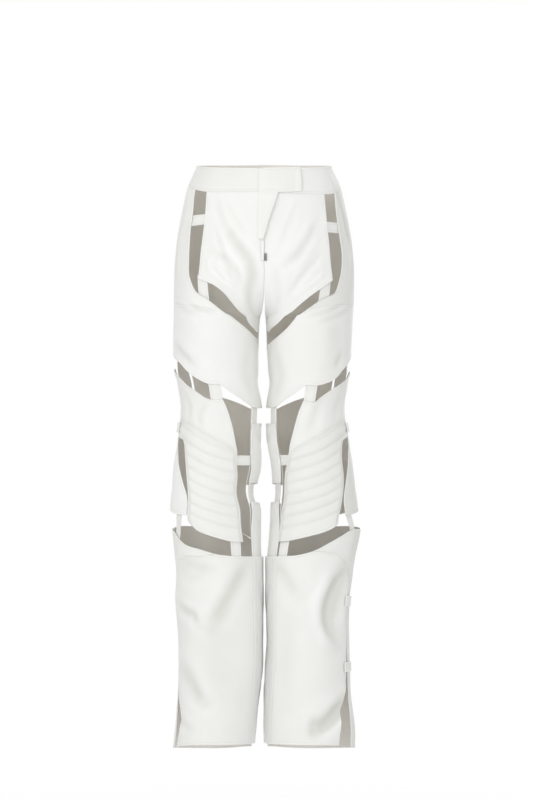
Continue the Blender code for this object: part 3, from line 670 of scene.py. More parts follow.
def hip_panels(side):
    """The hip's three panels. The openings beside the hip front differ a little between the sides."""
    waist_line = WAIST_LINE[side]
    front_corner = {RIGHT: 93, LEFT: 97.5}[side]
    front_bottom = {
        RIGHT: [(18, -280), (27, -274.5), (41, -262), (46, -246), (50.5, -231), (59, -211), (68, -200),
                (76, -193.5), (97, -184)],
        LEFT: [(18, -280), (27, -273.5), (40, -265.5), (50.5, -253.5), (54.5, -243.5), (60, -231),
               (71, -215.5), (86, -200.5), (102, -187)],
    }
    front_outer_edge = {
        RIGHT: [(89, -80), (89, -110), (91, -152)],
        LEFT: [(94, -80), (93.5, -110), (94.5, -152)],
    }
    side_front_edge = {
        RIGHT: [(119, -60), (118, -85), (116.5, -112), (114.5, -150), (115.5, -175), (111.5, -192),
                (105, -208), (88.5, -221.5), (80, -231)],
        LEFT: [(120, -60), (118.5, -90), (121, -130), (120.5, -150), (119, -172), (116, -189),
               (111, -209), (90, -222), (80, -232.5)],
    }
    return {
        "hip_front": Panel(
            top=stretch(waist_line, CENTRE_FRONT, front_corner, SEAM),
            bottom=front_bottom[side],
            first=[(CENTRE_FRONT, -120), (CENTRE_FRONT, -225), (CENTRE_FRONT, -262)],
            last=front_outer_edge[side],
            sewn={"top": ALL, "first": ALL}, plain=("top", "first")),
        "hip_side": Panel(
            top=stretch(waist_line, 125, SIDE_SEAM, SEAM),
            bottom=HIP_SEAM,
            first=side_front_edge[side],
            last=[(SIDE_SEAM, -60), (SIDE_SEAM, -150)],
            sewn={"top": ALL, "bottom": ALL, "last": ALL}, plain=("top", "bottom")),
        "seat": Panel(
            top=stretch(WAIST_LINE[RIGHT], SIDE_SEAM + SEAM, CENTRE_BACK, SEAM),
            bottom=stretch(SEAT_SEAM, SIDE_SEAM + SEAM, CENTRE_BACK),
            first=[(SIDE_SEAM + SEAM, -60), (SIDE_SEAM + SEAM, -150)],
            last=[(CENTRE_BACK, -90), (CENTRE_BACK, -180), (CENTRE_BACK, -235)],
            sewn={edge: ALL for edge in EDGES}, plain=("top", "bottom", "first")),
    }


def thigh_panels(side):
    """The thigh's two panels and the two at the inner leg, above and below the knee's inner gap."""
    inner_top = {
        RIGHT: [(CENTRE_FRONT, -298), (12, -293.5), (25.5, -288), (42, -276), (55, -264), (65.5, -253),
                (70, -246)],
        LEFT: [(CENTRE_FRONT, -306), (12, -303), (31, -295.5), (48, -283), (58.5, -271), (66, -258),
               (70.5, -247)],
    }
    outer_bottom = {
        RIGHT: [(86, -375), (102, -374), (120, -363), (132, -351), (147, -335), (165, -326), (182, -317)],
        LEFT: [(86, -376.5), (102, -377), (115, -373), (127, -367), (135, -359), (141, -350), (151, -341),
               (165, -330), (182, -319)],
    }
    return {
        "thigh_front": Panel(
            top=[*inner_top[side], *stretch(HIP_SEAM, 74, SIDE_SEAM, SEAM)],
            bottom=[(CENTRE_FRONT, -417), (38, -416), (62, -398), (76, -386), *outer_bottom[side],
                    (SIDE_SEAM, -313)],
            first=[(CENTRE_FRONT, -360)], last=[(SIDE_SEAM, -270)],
            sewn={"top": (74, 999), "first": ALL, "last": ALL}, plain=("first",)),
        "thigh_back": Panel(
            top=stretch(SEAT_SEAM, SIDE_SEAM + SEAM, CENTRE_BACK, SEAM),
            bottom=[(SIDE_SEAM + SEAM, -313), (230, -330), (270, -342), (318, -372), (345, -405),
                    (CENTRE_BACK, -417)],
            first=[(SIDE_SEAM + SEAM, -270)], last=[(CENTRE_BACK, -340)],
            sewn={"top": ALL, "first": ALL, "last": ALL}, plain=("first",)),
        "inner_upper": Panel(
            top=[(-40, -446), (40, -446)], bottom=[(-40, -560), (36, -553)],
            first=[(-40, -500)], last=[(39, -500)]),
        "inner_lower": Panel(
            top=[(-40, -594), (34, -587)], bottom=[(-40, -692), (38, -692)],
            first=[(-40, -635)], last=[(38, -635)], low_lift=DEEP_TUCK_UNDER),
    }


def knee_panels(side):
    """The knee's panels, whose edges follow the leg's own knee table. The pad comes last."""
    inner, outer, back = [knee_edge(side, name) for name in ("inner", "outer", "back")]
    seam = [KNEE_SEAM_START[side], *KNEE_SEAM, (187, -436)]
    corner = inner[-1][0] - 2
    top = {
        RIGHT: [(86, -402), (105, -402), (125, -387), (140, -376), (159, -359), (178, -348), (187, -346)],
        LEFT: [(86, -404), (101, -407.5), (112, -397), (128, -383.5), (145, -374), (163, -362.5),
               (178, -353), (187, -350.5)],
    }
    return {
        "knee_top": Panel(
            top=top[side],
            bottom=seam,
            first=[(79, -427), (71, -457)], last=[(186, -390)],
            sewn={"bottom": ALL, "last": ALL}, plain=("last",)),
        "knee_back": Panel(
            top=[(187.1, top[side][-1][1]), (215, -385), (270, -398), (318, -420)],
            bottom=[(back[-1][0], KNEE_BACK_CORNER), (152, -610), (180, -606), (225, -612), (262, -628),
                    (295, -644), (318, -658)],
            first=[(186.1, -390), (187.5, -434), (175, -474), (160, -500), *back[:-1]],
            last=[(318, -500)],
            sewn={"first": (-440, 0)}),
        "knee_pad": Panel(
            top=[(turn, height - SEAM) for turn, height in seam],
            bottom=[(corner, -660), *PAD_BOTTOM[side]],
            first=inner, last=[(172, -466), (150, -476), (139, -506), *outer[1:]],
            sewn={"top": ALL}, plain=("top",)),
    }


def calf_panels(side):
    """The calf's four panels. The front one laps over its neighbours, up to a slit on the outer side."""
    slit = CALF_SLIT[side]
    yoke_top = {
        RIGHT: [(72, -685), (92, -681.5), (113, -673.5), (136, -666), (149, -657), (slit, -645)],
        LEFT: [(72, -684), (93, -675), (110, -661.5), (125, -650), (138, -641.5), (slit, -638)],
    }
    front_top = {
        RIGHT: [(70, -685.5), (92, -683), (113, -686), (136, -688), (149, -692)],
        LEFT: [(70, -684), (92, -677.5), (116, -680), (127, -687), (137, -697)],
    }
    front_corner = {RIGHT: slit - 11, LEFT: slit - 22.5}[side]
    front_outer_edge = {
        RIGHT: [(slit - 2, -908), (slit - 8, -950), (slit - 15, -977), (slit - 14, -1000)],
        LEFT: [(slit - 2, -908), (slit - 5.5, -945), (slit - 15.5, -975), (slit - 19, -992),
               (slit - 21.5, -1010)],
    }
    return {
        "calf_yoke": Panel(
            top=[(40.1, -687), *yoke_top[side]],
            bottom=[(40.1, -735), (100, -733), (slit, -735)],
            last=[(slit, -690)], lift=-0.2, low_lift=-0.2,
            sewn={"first": ALL, "last": ALL}, plain=("first", "bottom")),
        "calf_front": Panel(
            top=[(35, -687), *front_top[side]],
            bottom=stretch(HEM, 29, front_corner),
            first=[(34, -840), (32, -950)],
            last=[(slit - 5, -708), (slit, -748), (slit + 1, -840), *front_outer_edge[side]],
            lift=LAY_OVER + 0.3, low_lift=LAY_OVER, sewn={"first": ALL}, double=("first",)),
        "calf_back": Panel(
            top=[(slit + 0.1, yoke_top[side][-1][1]), (slit + 13, -639), (slit + 28, -638), (215, -636),
                 (240, -637), (262, -639), (295, -645.5), (318, -661), (337.95, -688)],
            bottom=stretch(HEM, slit + 5, 337.95),
            first=[(slit + 0.4, -735), (slit + 7, -780), (slit + 8, -900)],
            last=[(337.95, -840)],
            sewn={"first": (-730, 0), "last": ALL}, plain=("last",)),
        "calf_inner": Panel(
            top=[(-22, -690), (40, -687)],
            bottom=stretch(HEM, -22, 34),
            first=[(-22, -840)], last=[(39, -840), (37, -950)],
            sewn={"first": ALL, "last": ALL}, plain=("last",)),
    }


# Straps: a band along the line between two places, tucked under or laid over the panels that it joins
Strap = namedtuple("Strap", "turn height end_turn end_height width lift end_lift")


def leg_straps(side):
    """The straps of one leg. The slit's are laid over its edges on the left leg, and tucked on the right."""
    slit = CALF_SLIT[side]
    inner = knee_edge(side, "inner")
    pad_edge, pad_corner = inner[0][0], inner[-1][0]
    straps = {
        "hip_strap": Strap(88, -90, 125, -91, 19, HIP_TUCK_UNDER, HIP_TUCK_UNDER),
        "groin_strap": Strap(91, -179, 97, -229, 25, HIP_TUCK_UNDER - 1.2, DEEP_TUCK_UNDER - 1.4),
        "knee_strap_front": Strap(94, -365, 95, -417, 25, TUCK_UNDER, TUCK_UNDER),
        "knee_strap_side": Strap(209, -300, 209, -402, 42, TUCK_UNDER, TUCK_UNDER),
        "knee_strap_back": Strap(245.5, -312, 245.5, -414, 46, TUCK_UNDER, TUCK_UNDER),
        "knee_strap_outer": Strap(162, -453, 198, -453, 18, LAY_OVER + LAP_GAP, LAY_OVER),
        "inner_strap_top": Strap(32, -408, 32, -455, 20, TUCK_UNDER, TUCK_UNDER),
        "inner_strap_middle": Strap(24, -545, 24, -597, 22, TUCK_UNDER, DEEP_TUCK_UNDER),
        "pad_strap_inner": Strap(33, -513, pad_edge + 7, -512, 18, DEEP_TUCK_UNDER, PAD_TUCK_UNDER),
        "calf_strap_front": Strap(pad_corner + 7, -650, pad_corner + 8, -697, 21,
                                  PAD_TUCK_UNDER, TUCK_UNDER),
        "calf_strap_outer": Strap(141, -598, 152, -652, 16, DEEP_TUCK_UNDER - 0.8, DEEP_TUCK_UNDER),
        "slit_strap_upper": Strap(slit - 5, -768, slit + 20, -770, 20, OVER_FRONT, LAY_OVER),
        "slit_strap_lower": Strap(slit - 7, -889, slit + 20, -889, 18, OVER_FRONT, LAY_OVER - 0.3),
    }
    if side == RIGHT:
        straps.update({
            "hip_strap": Strap(83, -76, 125, -78, 19, HIP_TUCK_UNDER, HIP_TUCK_UNDER),
            "calf_strap_outer": Strap(145, -598, 159, -657, 16, DEEP_TUCK_UNDER - 0.8, DEEP_TUCK_UNDER),
            "slit_strap_upper": Strap(slit - 9, -768, slit + 20, -770, 20, TUCK_UNDER, DEEP_TUCK_UNDER),
            "slit_strap_lower": Strap(slit - 11, -889, slit + 20, -889, 18, TUCK_UNDER, TUCK_UNDER),
        })
    return straps


def strap_panel(strap):
    """The panel of a strap, whose long sides run along it. Its bottom edge is its end."""
    run = (strap.end_turn - strap.turn) * MM_PER_DEGREE
    rise = strap.end_height - strap.height
    length = math.hypot(run, rise)
    half_turn = -rise / length * strap.width / 2 / MM_PER_DEGREE
    half_height = run / length * strap.width / 2
    start = [(strap.turn - half_turn, strap.height - half_height),
             (strap.turn + half_turn, strap.height + half_height)]
    end = [(strap.end_turn - half_turn, strap.end_height - half_height),
           (strap.end_turn + half_turn, strap.end_height + half_height)]
    plain = () if strap.lift > 0 else ("top", "bottom")
    return Panel(start, end, lift=strap.lift, low_lift=strap.end_lift, plain=plain)


class LeatherSettings(bpy.types.PropertyGroup):
    """Sizes and colours of the leather"""
    wall: FloatProperty(name="Leather thickness", description="Thickness of a panel", default=WALL * MM,
                        min=0.0005, max=0.004, subtype="DISTANCE", unit="LENGTH")
    pad_wall: FloatProperty(name="Pad thickness", description="Thickness of the knee pad between its ribs",
                            default=PAD_WALL * MM, min=0.002, max=0.01, subtype="DISTANCE", unit="LENGTH")
    rib_height: FloatProperty(name="Rib height", description="Height of the knee pad's ribs",
                              default=0.0024, min=0, max=0.008, subtype="DISTANCE", unit="LENGTH")
    cell: FloatProperty(name="Mesh size", description="Size of a panel's faces", default=0.0038,
                        min=0.002, max=0.02, subtype="DISTANCE", unit="LENGTH")
    grain: FloatProperty(name="Grain size", description="Size of the leather's pebbles", default=0.0011,
                         min=0.0003, max=0.005, subtype="DISTANCE", unit="LENGTH")
    colour: FloatVectorProperty(name="Leather", description="Colour of the leather's face", subtype="COLOR",
                                size=3, min=0, max=1, default=(0.905, 0.906, 0.886))
    # The painted shade colour that creases, seams and darker pieces are painted towards
    painted_shade_colour: FloatVectorProperty(name="Creased leather", description="Colour in creases and seams",
                                     subtype="COLOR", size=3, min=0, max=1, default=(0.715, 0.722, 0.672))
    edge_colour: FloatVectorProperty(name="Edge paint", description="Colour of the finished edges",
                                     subtype="COLOR", size=3, min=0, max=1, default=(0.88, 0.875, 0.84))
    lining_colour: FloatVectorProperty(name="Lining", description="Colour of the lining", subtype="COLOR",
                                       size=3, min=0, max=1, default=(0.95, 0.925, 0.87))
    thread_colour: FloatVectorProperty(name="Thread", description="Colour of the sewing thread",
                                       subtype="COLOR", size=3, min=0, max=1, default=(0.86, 0.85, 0.81))
    metal_colour: FloatVectorProperty(name="Metal", description="Colour of the zip stop", subtype="COLOR",
                                      size=3, min=0, max=1, default=(0.16, 0.155, 0.15))


class StitchSettings(bpy.types.PropertyGroup):
    """Sizes of the stitches"""
    pitch: FloatProperty(name="Pitch", description="Distance from one stitch to the next", default=0.0044,
                         min=0.002, max=0.02, subtype="DISTANCE", unit="LENGTH")
    length: FloatProperty(name="Length", description="Length of a stitch", default=0.0033,
                          min=0.001, max=0.02, subtype="DISTANCE", unit="LENGTH")
    radius: FloatProperty(name="Thread radius", description="Half the thread's thickness", default=0.0004,
                          min=0.0001, max=0.002, subtype="DISTANCE", unit="LENGTH")


class StageSettings(bpy.types.PropertyGroup):
    """Camera, lights and floor"""
    lens: FloatProperty(name="Lens", description="Focal length", default=135, min=20, max=300)
    camera_distance: FloatProperty(name="Camera distance", description="From the camera to the middle plane",
                                   default=5.4825, min=1, max=20, subtype="DISTANCE", unit="LENGTH")
    camera_height: FloatProperty(name="Camera height", description="Against the middle of the waistband",
                                 default=-0.402, min=-2, max=2, subtype="DISTANCE", unit="LENGTH")
    key_power: FloatProperty(name="Key light", description="Power of the large light at the front left",
                             default=22, min=0, max=1000, subtype="POWER", unit="POWER")
    side_power: FloatProperty(name="Side light", description="Power of the light at the left",
                              default=12, min=0, max=1000, subtype="POWER", unit="POWER")
    fill_power: FloatProperty(name="Fill light", description="Power of the light at the front right",
                              default=19.5, min=0, max=1000, subtype="POWER", unit="POWER")
    top_power: FloatProperty(name="Top light", description="Power of the light above", default=7,
                             min=0, max=1000, subtype="POWER", unit="POWER")
    back_power: FloatProperty(name="Back light", description="Power of the light behind", default=26,
                              min=0, max=1000, subtype="POWER", unit="POWER")
    ambient: FloatProperty(name="Ambient light", description="Strength of the light from all round",
                           default=0.61, min=0, max=2)
    floor_height: FloatProperty(name="Floor height", description="Against the middle of the waistband",
                                default=-1.25, min=-3, max=0, subtype="DISTANCE", unit="LENGTH")
    floor_colour: FloatVectorProperty(name="Floor", description="Colour of the floor", subtype="COLOR",
                                      size=3, min=0, max=1, default=(0.85, 0.85, 0.85))


class Value:
    """A shader socket that takes part in sums: each operation adds its Math node."""

    def __init__(self, tree, socket):
        self.tree, self.socket = tree, socket

    def math(self, operation, first, second):
        return self.tree.node("ShaderNodeMath", {"operation": operation}, {0: first, 1: second})

    def __add__(self, other):
        return self.math("ADD", self, other)

    def __radd__(self, other):
        return self.math("ADD", other, self)

    def __sub__(self, other):
        return self.math("SUBTRACT", self, other)

    def __rsub__(self, other):
        return self.math("SUBTRACT", other, self)

    def __mul__(self, other):
        return self.math("MULTIPLY", self, other)

    def __rmul__(self, other):
        return self.math("MULTIPLY", other, self)

    def __truediv__(self, other):
        return self.math("DIVIDE", self, other)

    def held(self):
        """The value kept between 0 and 1."""
        return self.tree.node("ShaderNodeClamp", {}, {"Value": self})


class Tree:
    """A material's or world's nodes, added one at a time and linked by the values that they take."""

    def __init__(self, owner):
        owner.use_nodes = True
        self.tree = owner.node_tree
        self.tree.nodes.clear()

    def node(self, kind, settings, sockets, output=0):
        """Adds a node of a kind, with its settings first and then the values or links of its sockets."""
        node = self.tree.nodes.new(kind)
        for name, value in settings.items():
            setattr(node, name, value)
        for name, value in sockets.items():
            socket = node.inputs[name]
            if isinstance(value, Value):
                self.tree.links.new(value.socket, socket)
            elif socket.type == "RGBA":
                socket.default_value = (*value, 1)
            else:
                socket.default_value = value
        return Value(self, node.outputs[output]) if node.outputs else None

    def mix(self, factor, low, high):
        """A colour between two."""
        return self.node("ShaderNodeMix", {"data_type": "RGBA"}, {0: factor, 6: low, 7: high}, 2)

    def place(self):
        return self.node("ShaderNodeTexCoord", {}, {}, "Object")

    def noise(self, place, size, detail=2.0, roughness=0.5):
        """Noise from 0 to 1 whose features are about a size, in metres."""
        return self.node("ShaderNodeTexNoise", {}, {"Vector": place, "Scale": 1 / size, "Detail": detail,
                                                    "Roughness": roughness})

    def attribute(self, name):
        return self.node("ShaderNodeAttribute", {"attribute_name": name}, {}, "Fac")

    def surface(self, shader):
        self.node("ShaderNodeOutputMaterial", {}, {"Surface": shader})


def leather_material(settings):
    """Smooth off-white leather: fine pebbles and pores, duller in creases, with painted shade greyer in its
    creases and seams and each piece painted lighter or darker.
    """
    material = bpy.data.materials.new("off_white_leather")
    tree = Tree(material)
    place = tree.place()
    drift = tree.noise(place, 0.006)
    bent = tree.node("ShaderNodeVectorMath", {"operation": "MULTIPLY_ADD"},
                     {0: drift, 1: (0.0012,) * 3, 2: place})
    pebble = tree.node("ShaderNodeTexVoronoi", {"feature": "DISTANCE_TO_EDGE"},
                       {"Vector": bent, "Scale": 1 / settings.grain})
    fine_pebble = tree.node("ShaderNodeTexVoronoi", {"feature": "DISTANCE_TO_EDGE"},
                            {"Vector": bent, "Scale": 2.3 / settings.grain})
    pore = tree.noise(place, 0.0005, 3.0, 0.6)
    wrinkle = tree.noise(place, 0.009, 4.0, 0.62)
    grain = (pebble * 5).held() * 0.6 + (fine_pebble * 4).held() * 0.25 + pore * 0.15
    # The crease measure and each piece's shading below feed painted shade: the leather is painted greyer in
    # creases, seams, stitch rows and the pad's rib valleys by their depth, darker within 3 mm of every edge,
    # and lighter or darker piece by piece for how light falls on it. The mottle and grain in it are the
    # leather's own tone.
    crease = tree.attribute("crease")
    edge = tree.attribute("edge")
    painted_piece_shading = tree.attribute("painted_piece_shading")
    mottle = tree.noise(place, 0.05, 3.0, 0.55)
    painted_shade = (crease * 0.16 + (1 - edge / 3).held() * 0.06 + (mottle - 0.5) * 0.22
              + (1 - grain) * 0.10 + painted_piece_shading).held()
    colour = tree.mix(painted_shade, settings.colour, settings.painted_shade_colour)
    roughness = (0.47 + (1 - grain) * 0.14 + (wrinkle - 0.5) * 0.12 + crease * 0.03).held()
    height = grain * 0.55 + wrinkle * 1.3
    bump = tree.node("ShaderNodeBump", {}, {"Strength": 0.35, "Distance": 0.00035, "Height": height})
    shader = tree.node("ShaderNodeBsdfPrincipled", {}, {
        "Base Color": colour, "Roughness": roughness, "Normal": bump, "Specular IOR Level": 0.42,
        "Sheen Weight": 0.06, "Sheen Roughness": 0.6})
    tree.surface(shader)
    return material


def lining_material(settings):
    """Thin twill lining, whose ribs run at a slant."""
    material = bpy.data.materials.new("twill_lining")
    tree = Tree(material)
    place = tree.place()
    slant = tree.node("ShaderNodeMapping", {}, {"Vector": place, "Rotation": (0, math.radians(58), 0)})
    twill = tree.node("ShaderNodeTexWave", {"wave_type": "BANDS", "bands_direction": "X"},
                      {"Vector": slant, "Scale": 420.0, "Distortion": 0.6, "Detail": 1.0}, "Fac")
    slub = tree.noise(place, 0.0016, 3.0, 0.6)
    wear = tree.noise(place, 0.03, 3.0, 0.5)
    shade = (twill * 0.25 + slub * 0.3 + wear * 0.35).held()
    darker = tuple(value * 0.93 for value in settings.lining_colour)
    colour = tree.mix(shade, settings.lining_colour, darker)
    bump = tree.node("ShaderNodeBump", {}, {"Strength": 0.3, "Distance": 0.0002, "Height": twill + slub})
    shader = tree.node("ShaderNodeBsdfPrincipled", {}, {
        "Base Color": colour, "Roughness": 0.74 + slub * 0.12, "Normal": bump,
        "Specular IOR Level": 0.3, "Sheen Weight": 0.15, "Sheen Roughness": 0.5})
    tree.surface(shader)
    return material


def edge_material(settings):
    """Painted leather edge: smooth, a little warmer, and uneven along its length."""
    material = bpy.data.materials.new("painted_edge")
    tree = Tree(material)
    place = tree.place()
    patch = tree.noise(place, 0.004, 3.0, 0.6)
    rub = tree.noise(place, 0.0009, 2.0, 0.5)
    darker = tuple(value * 0.88 for value in settings.edge_colour)
    colour = tree.mix((patch * 0.8 - 0.1).held(), settings.edge_colour, darker)
    bump = tree.node("ShaderNodeBump", {}, {"Strength": 0.2, "Distance": 0.0002, "Height": rub})
    shader = tree.node("ShaderNodeBsdfPrincipled", {}, {
        "Base Color": colour, "Roughness": 0.4 + patch * 0.16, "Normal": bump})
    tree.surface(shader)
    return material


def thread_material(settings):
    """Waxed sewing thread, with the slant of its plies."""
    material = bpy.data.materials.new("sewing_thread")
    tree = Tree(material)
    place = tree.place()
    slant = tree.node("ShaderNodeMapping", {}, {"Vector": place, "Rotation": (0.6, 0.7, 0.4)})
    ply = tree.node("ShaderNodeTexWave", {"wave_type": "BANDS"}, {"Vector": slant, "Scale": 900.0}, "Fac")
    fluff = tree.noise(place, 0.0006, 2.0, 0.6)
    darker = tuple(value * 0.8 for value in settings.thread_colour)
    colour = tree.mix((ply * 0.5 + fluff * 0.4).held(), settings.thread_colour, darker)
    bump = tree.node("ShaderNodeBump", {}, {"Strength": 0.5, "Distance": 0.0001, "Height": ply})
    shader = tree.node("ShaderNodeBsdfPrincipled", {}, {
        "Base Color": colour, "Roughness": 0.5 + fluff * 0.2, "Normal": bump, "Sheen Weight": 0.1})
    tree.surface(shader)
    return material


def metal_material(settings):
    """Dark nickel, finely scratched along its length."""
    material = bpy.data.materials.new("dark_nickel")
    tree = Tree(material)
    place = tree.place()
    drawn = tree.node("ShaderNodeMapping", {}, {"Vector": place, "Scale": (1, 1, 0.08)})
    scratch = tree.noise(drawn, 0.0004, 4.0, 0.7)
    patch = tree.noise(place, 0.003, 2.0, 0.5)
    lighter = tuple(min(1, value * 1.7) for value in settings.metal_colour)
    colour = tree.mix((patch * 0.7 + scratch * 0.3).held(), settings.metal_colour, lighter)
    bump = tree.node("ShaderNodeBump", {}, {"Strength": 0.2, "Distance": 0.00005, "Height": scratch})
    shader = tree.node("ShaderNodeBsdfPrincipled", {}, {
        "Base Color": colour, "Roughness": 0.26 + scratch * 0.22, "Metallic": 1.0, "Normal": bump})
    tree.surface(shader)
    return material


MATERIALS = {
    "off_white_leather": leather_material,
    "twill_lining": lining_material,
    "painted_edge": edge_material,
    "sewing_thread": thread_material,
    "dark_nickel": metal_material,
}


def finish_of(name):
    """A material by its name, made when it is first asked for."""
    made = bpy.data.materials.get(name)
    return made or MATERIALS[name](bpy.context.scene.pants_leather)


# How far each piece is painted from the palest towards the painted shade colour: painted light and shade for
# how light falls on it. Others have the usual painted shading.
USUAL_PAINTED_SHADING = 0.22
PAINTED_PIECE_SHADING = {
    "waistband_right": 0.3, "waistband_left": 0.05, "fly_flap": 0.22, "hip_front_right": 0.16,
    "hip_front_left": 0.0, "hip_side_right": 0.2, "hip_side_left": 0.5, "thigh_front_right": 0.1,
    "knee_back_right": 0.0, "knee_back_left": 0.6, "knee_pad_right": 0.52, "knee_pad_left": 0.62,
    "calf_front_right": 0.27, "calf_front_left": 0.27, "calf_back_left": 0.5, "calf_inner_right": 0.0,
    "calf_inner_left": 0.0, "inner_upper_right": 0.0, "inner_upper_left": 0.0, "inner_lower_right": 0.0,
    "inner_lower_left": 0.0,
}

# Rows of (points, outward directions) that each part of the trousers still has to be sewn along
STITCH_ROWS = {"waist": [], "right": [], "left": []}

SMALLEST_FLAT = 0.0101

# A stitch's rings: its place along the stitch, its share of the thread's radius, and its height in radii
STITCH_RINGS = [(0.0, 0.35, -0.9), (0.22, 1.0, 0.25), (0.78, 1.0, 0.25), (1.0, 0.35, -0.9)]
STITCH_SIDES = 4


def add_piece(name, shells, group):
    """One leather piece from its shells, in place of its CAD node, which it hides, with its rows of stitches
    kept for sewing.
    """
    parts = [shell.mesh_parts() for shell in shells]
    starts = np.cumsum([0] + [len(part[0]) for part in parts])
    points = np.concatenate([part[0] for part in parts])
    faces = np.concatenate([part[1] + start for part, start in zip(parts, starts)])
    mesh = bpy.data.meshes.new(name)
    mesh.vertices.add(len(points))
    mesh.vertices.foreach_set("co", points.astype(np.float32).reshape(-1))
    mesh.loops.add(faces.size)
    mesh.loops.foreach_set("vertex_index", faces.astype(np.int32).reshape(-1))
    mesh.polygons.add(len(faces))
    mesh.polygons.foreach_set("loop_start", np.arange(0, faces.size, 4, dtype=np.int32))
    mesh.polygons.foreach_set("loop_total", np.full(len(faces), 4, dtype=np.int32))
    mesh.update(calc_edges=True)
    for material in ("off_white_leather", "twill_lining", "painted_edge"):
        mesh.materials.append(finish_of(material))
    slots = np.concatenate([part[2] for part in parts])
    mesh.polygons.foreach_set("material_index", slots.astype(np.int32))
    mesh.shade_smooth()
    # The crease measure and each piece's shading measure are masks of painted light and shade in the
    # leather's colour
    measures = {"crease": np.concatenate([part[3] for part in parts]),
                "edge": np.concatenate([part[4] for part in parts]),
                "painted_piece_shading": np.full(len(points), PAINTED_PIECE_SHADING.get(name, USUAL_PAINTED_SHADING))}
    for measure, values in measures.items():
        attribute = mesh.attributes.new(measure, "FLOAT", "POINT")
        attribute.data.foreach_set("value", values.astype(np.float32))
    mesh.validate()
    piece = bpy.data.objects.new(f"{name}_leather", mesh)
    bpy.context.scene.collection.objects.link(piece)
    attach(piece, "root")
    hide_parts(name)
    for shell in shells:
        STITCH_ROWS[group] += shell.stitch_rows()
    return piece


def cell_size():
    size = bpy.context.scene.pants_leather.cell / MM
    return size


def add_sheet(name, side, panels, group):
    """A leather piece made of one or more sewn panels. The size that it is cut to is worked out but not
    kept.
    """
    wall = bpy.context.scene.pants_leather.wall / MM
    shells = [Shell(side, panel, wall, cell_size()) for panel in panels]
    piece = add_piece(name, shells, group)
    width = max(shell.width for shell in shells) * MM
    length = sum(shell.length for shell in shells) * MM
    area = sum(shell.area for shell in shells)
    width, length = max(width, SMALLEST_FLAT), max(length, SMALLEST_FLAT)
    area = min(area, width * length)
    max(area, 0.3 * width * length)


def stitch_mesh(rows):
    """Points and faces of every stitch in the rows: a short grain of thread that dips in at both ends."""
    settings = bpy.context.scene.pants_stitches
    around = STITCH_SIDES
    stations = np.array(STITCH_RINGS)
    angles = np.linspace(0, 2 * math.pi, around, endpoint=False) + math.pi / around
    all_points = []
    for points, outward in rows:
        steps = np.linalg.norm(np.diff(points, axis=0), axis=1)
        reach = np.concatenate([[0], np.cumsum(steps)])
        count = int(reach[-1] / settings.pitch)
        if count < 1:
            continue
        first = (reach[-1] - count * settings.pitch) / 2 + (settings.pitch - settings.length) / 2
        starts = first + settings.pitch * np.arange(count)
        places = starts[:, None] + settings.length * stations[None, :, 0]
        centre = np.stack([np.interp(places, reach, points[:, axis]) for axis in range(3)], axis=-1)
        out = np.stack([np.interp(places, reach, outward[:, axis]) for axis in range(3)], axis=-1)
        ahead = centre[:, -1:] - centre[:, :1]
        ahead /= np.maximum(np.linalg.norm(ahead, axis=-1, keepdims=True), 1e-9)
        sideways = np.cross(out, np.broadcast_to(ahead, out.shape))
        sideways /= np.maximum(np.linalg.norm(sideways, axis=-1, keepdims=True), 1e-9)
        centre = centre + out * (stations[None, :, 2:] * settings.radius)
        radius = (stations[:, 1] * settings.radius)[None, :, None, None]
        ring = (out[:, :, None] * np.cos(angles)[None, None, :, None]
                + sideways[:, :, None] * np.sin(angles)[None, None, :, None])
        all_points.append((centre[:, :, None] + ring * radius).reshape(-1, 3))
    points = np.concatenate(all_points)
    per_stitch = len(stations) * around
    base = np.arange(len(points) // per_stitch)[:, None, None] * per_stitch
    faces = []
    for station in range(len(stations) - 1):
        for k in range(around):
            a, b = station * around + k, station * around + (k + 1) % around
            faces.append((a, b, b + around, a + around))
    faces.append(tuple(range(around))[::-1])
    faces.append(tuple(per_stitch - around + k for k in range(around)))
    faces = (np.array(faces)[None] + base).reshape(-1, 4)
    return points, faces


def add_thread(group):
    """All the stitches of one part of the trousers, as one piece."""
    points, faces = stitch_mesh(STITCH_ROWS[group])
    mesh = bpy.data.meshes.new(f"stitching_{group}")
    mesh.from_pydata(points.tolist(), [], faces.tolist())
    mesh.materials.append(finish_of("sewing_thread"))
    mesh.shade_smooth()
    piece = bpy.data.objects.new(f"stitching_{group}", mesh)
    bpy.context.scene.collection.objects.link(piece)
    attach(piece, "root")


class PANTS_OT_waist(bpy.types.Operator):
    """Sew the waistband, the fly flap and the fly placket"""
    bl_idname = "pants.waist"
    bl_label = "Waistband and fly"

    def execute(self, context):
        for name, (side, panel) in waist_panels().items():
            add_sheet(name, side, [panel], "waist")
        add_sheet("fly_flap", LEFT, fly_flap_panels(), "waist")
        return {"FINISHED"}


class PANTS_OT_hips(bpy.types.Operator):
    """Cut and sew the hip fronts, hip sides and seat"""
    bl_idname = "pants.hips"
    bl_label = "Hips and seat"

    def execute(self, context):
        for side_name, side in SIDES.items():
            for name, panel in hip_panels(side).items():
                add_sheet(f"{name}_{side_name}", side, [panel], side_name)
        return {"FINISHED"}


class PANTS_OT_thighs(bpy.types.Operator):
    """Cut and sew the thigh panels and the two panels at the inner leg"""
    bl_idname = "pants.thighs"
    bl_label = "Thighs and inner legs"

    def execute(self, context):
        for side_name, side in SIDES.items():
            for name, panel in thigh_panels(side).items():
                add_sheet(f"{name}_{side_name}", side, [panel], side_name)
        return {"FINISHED"}


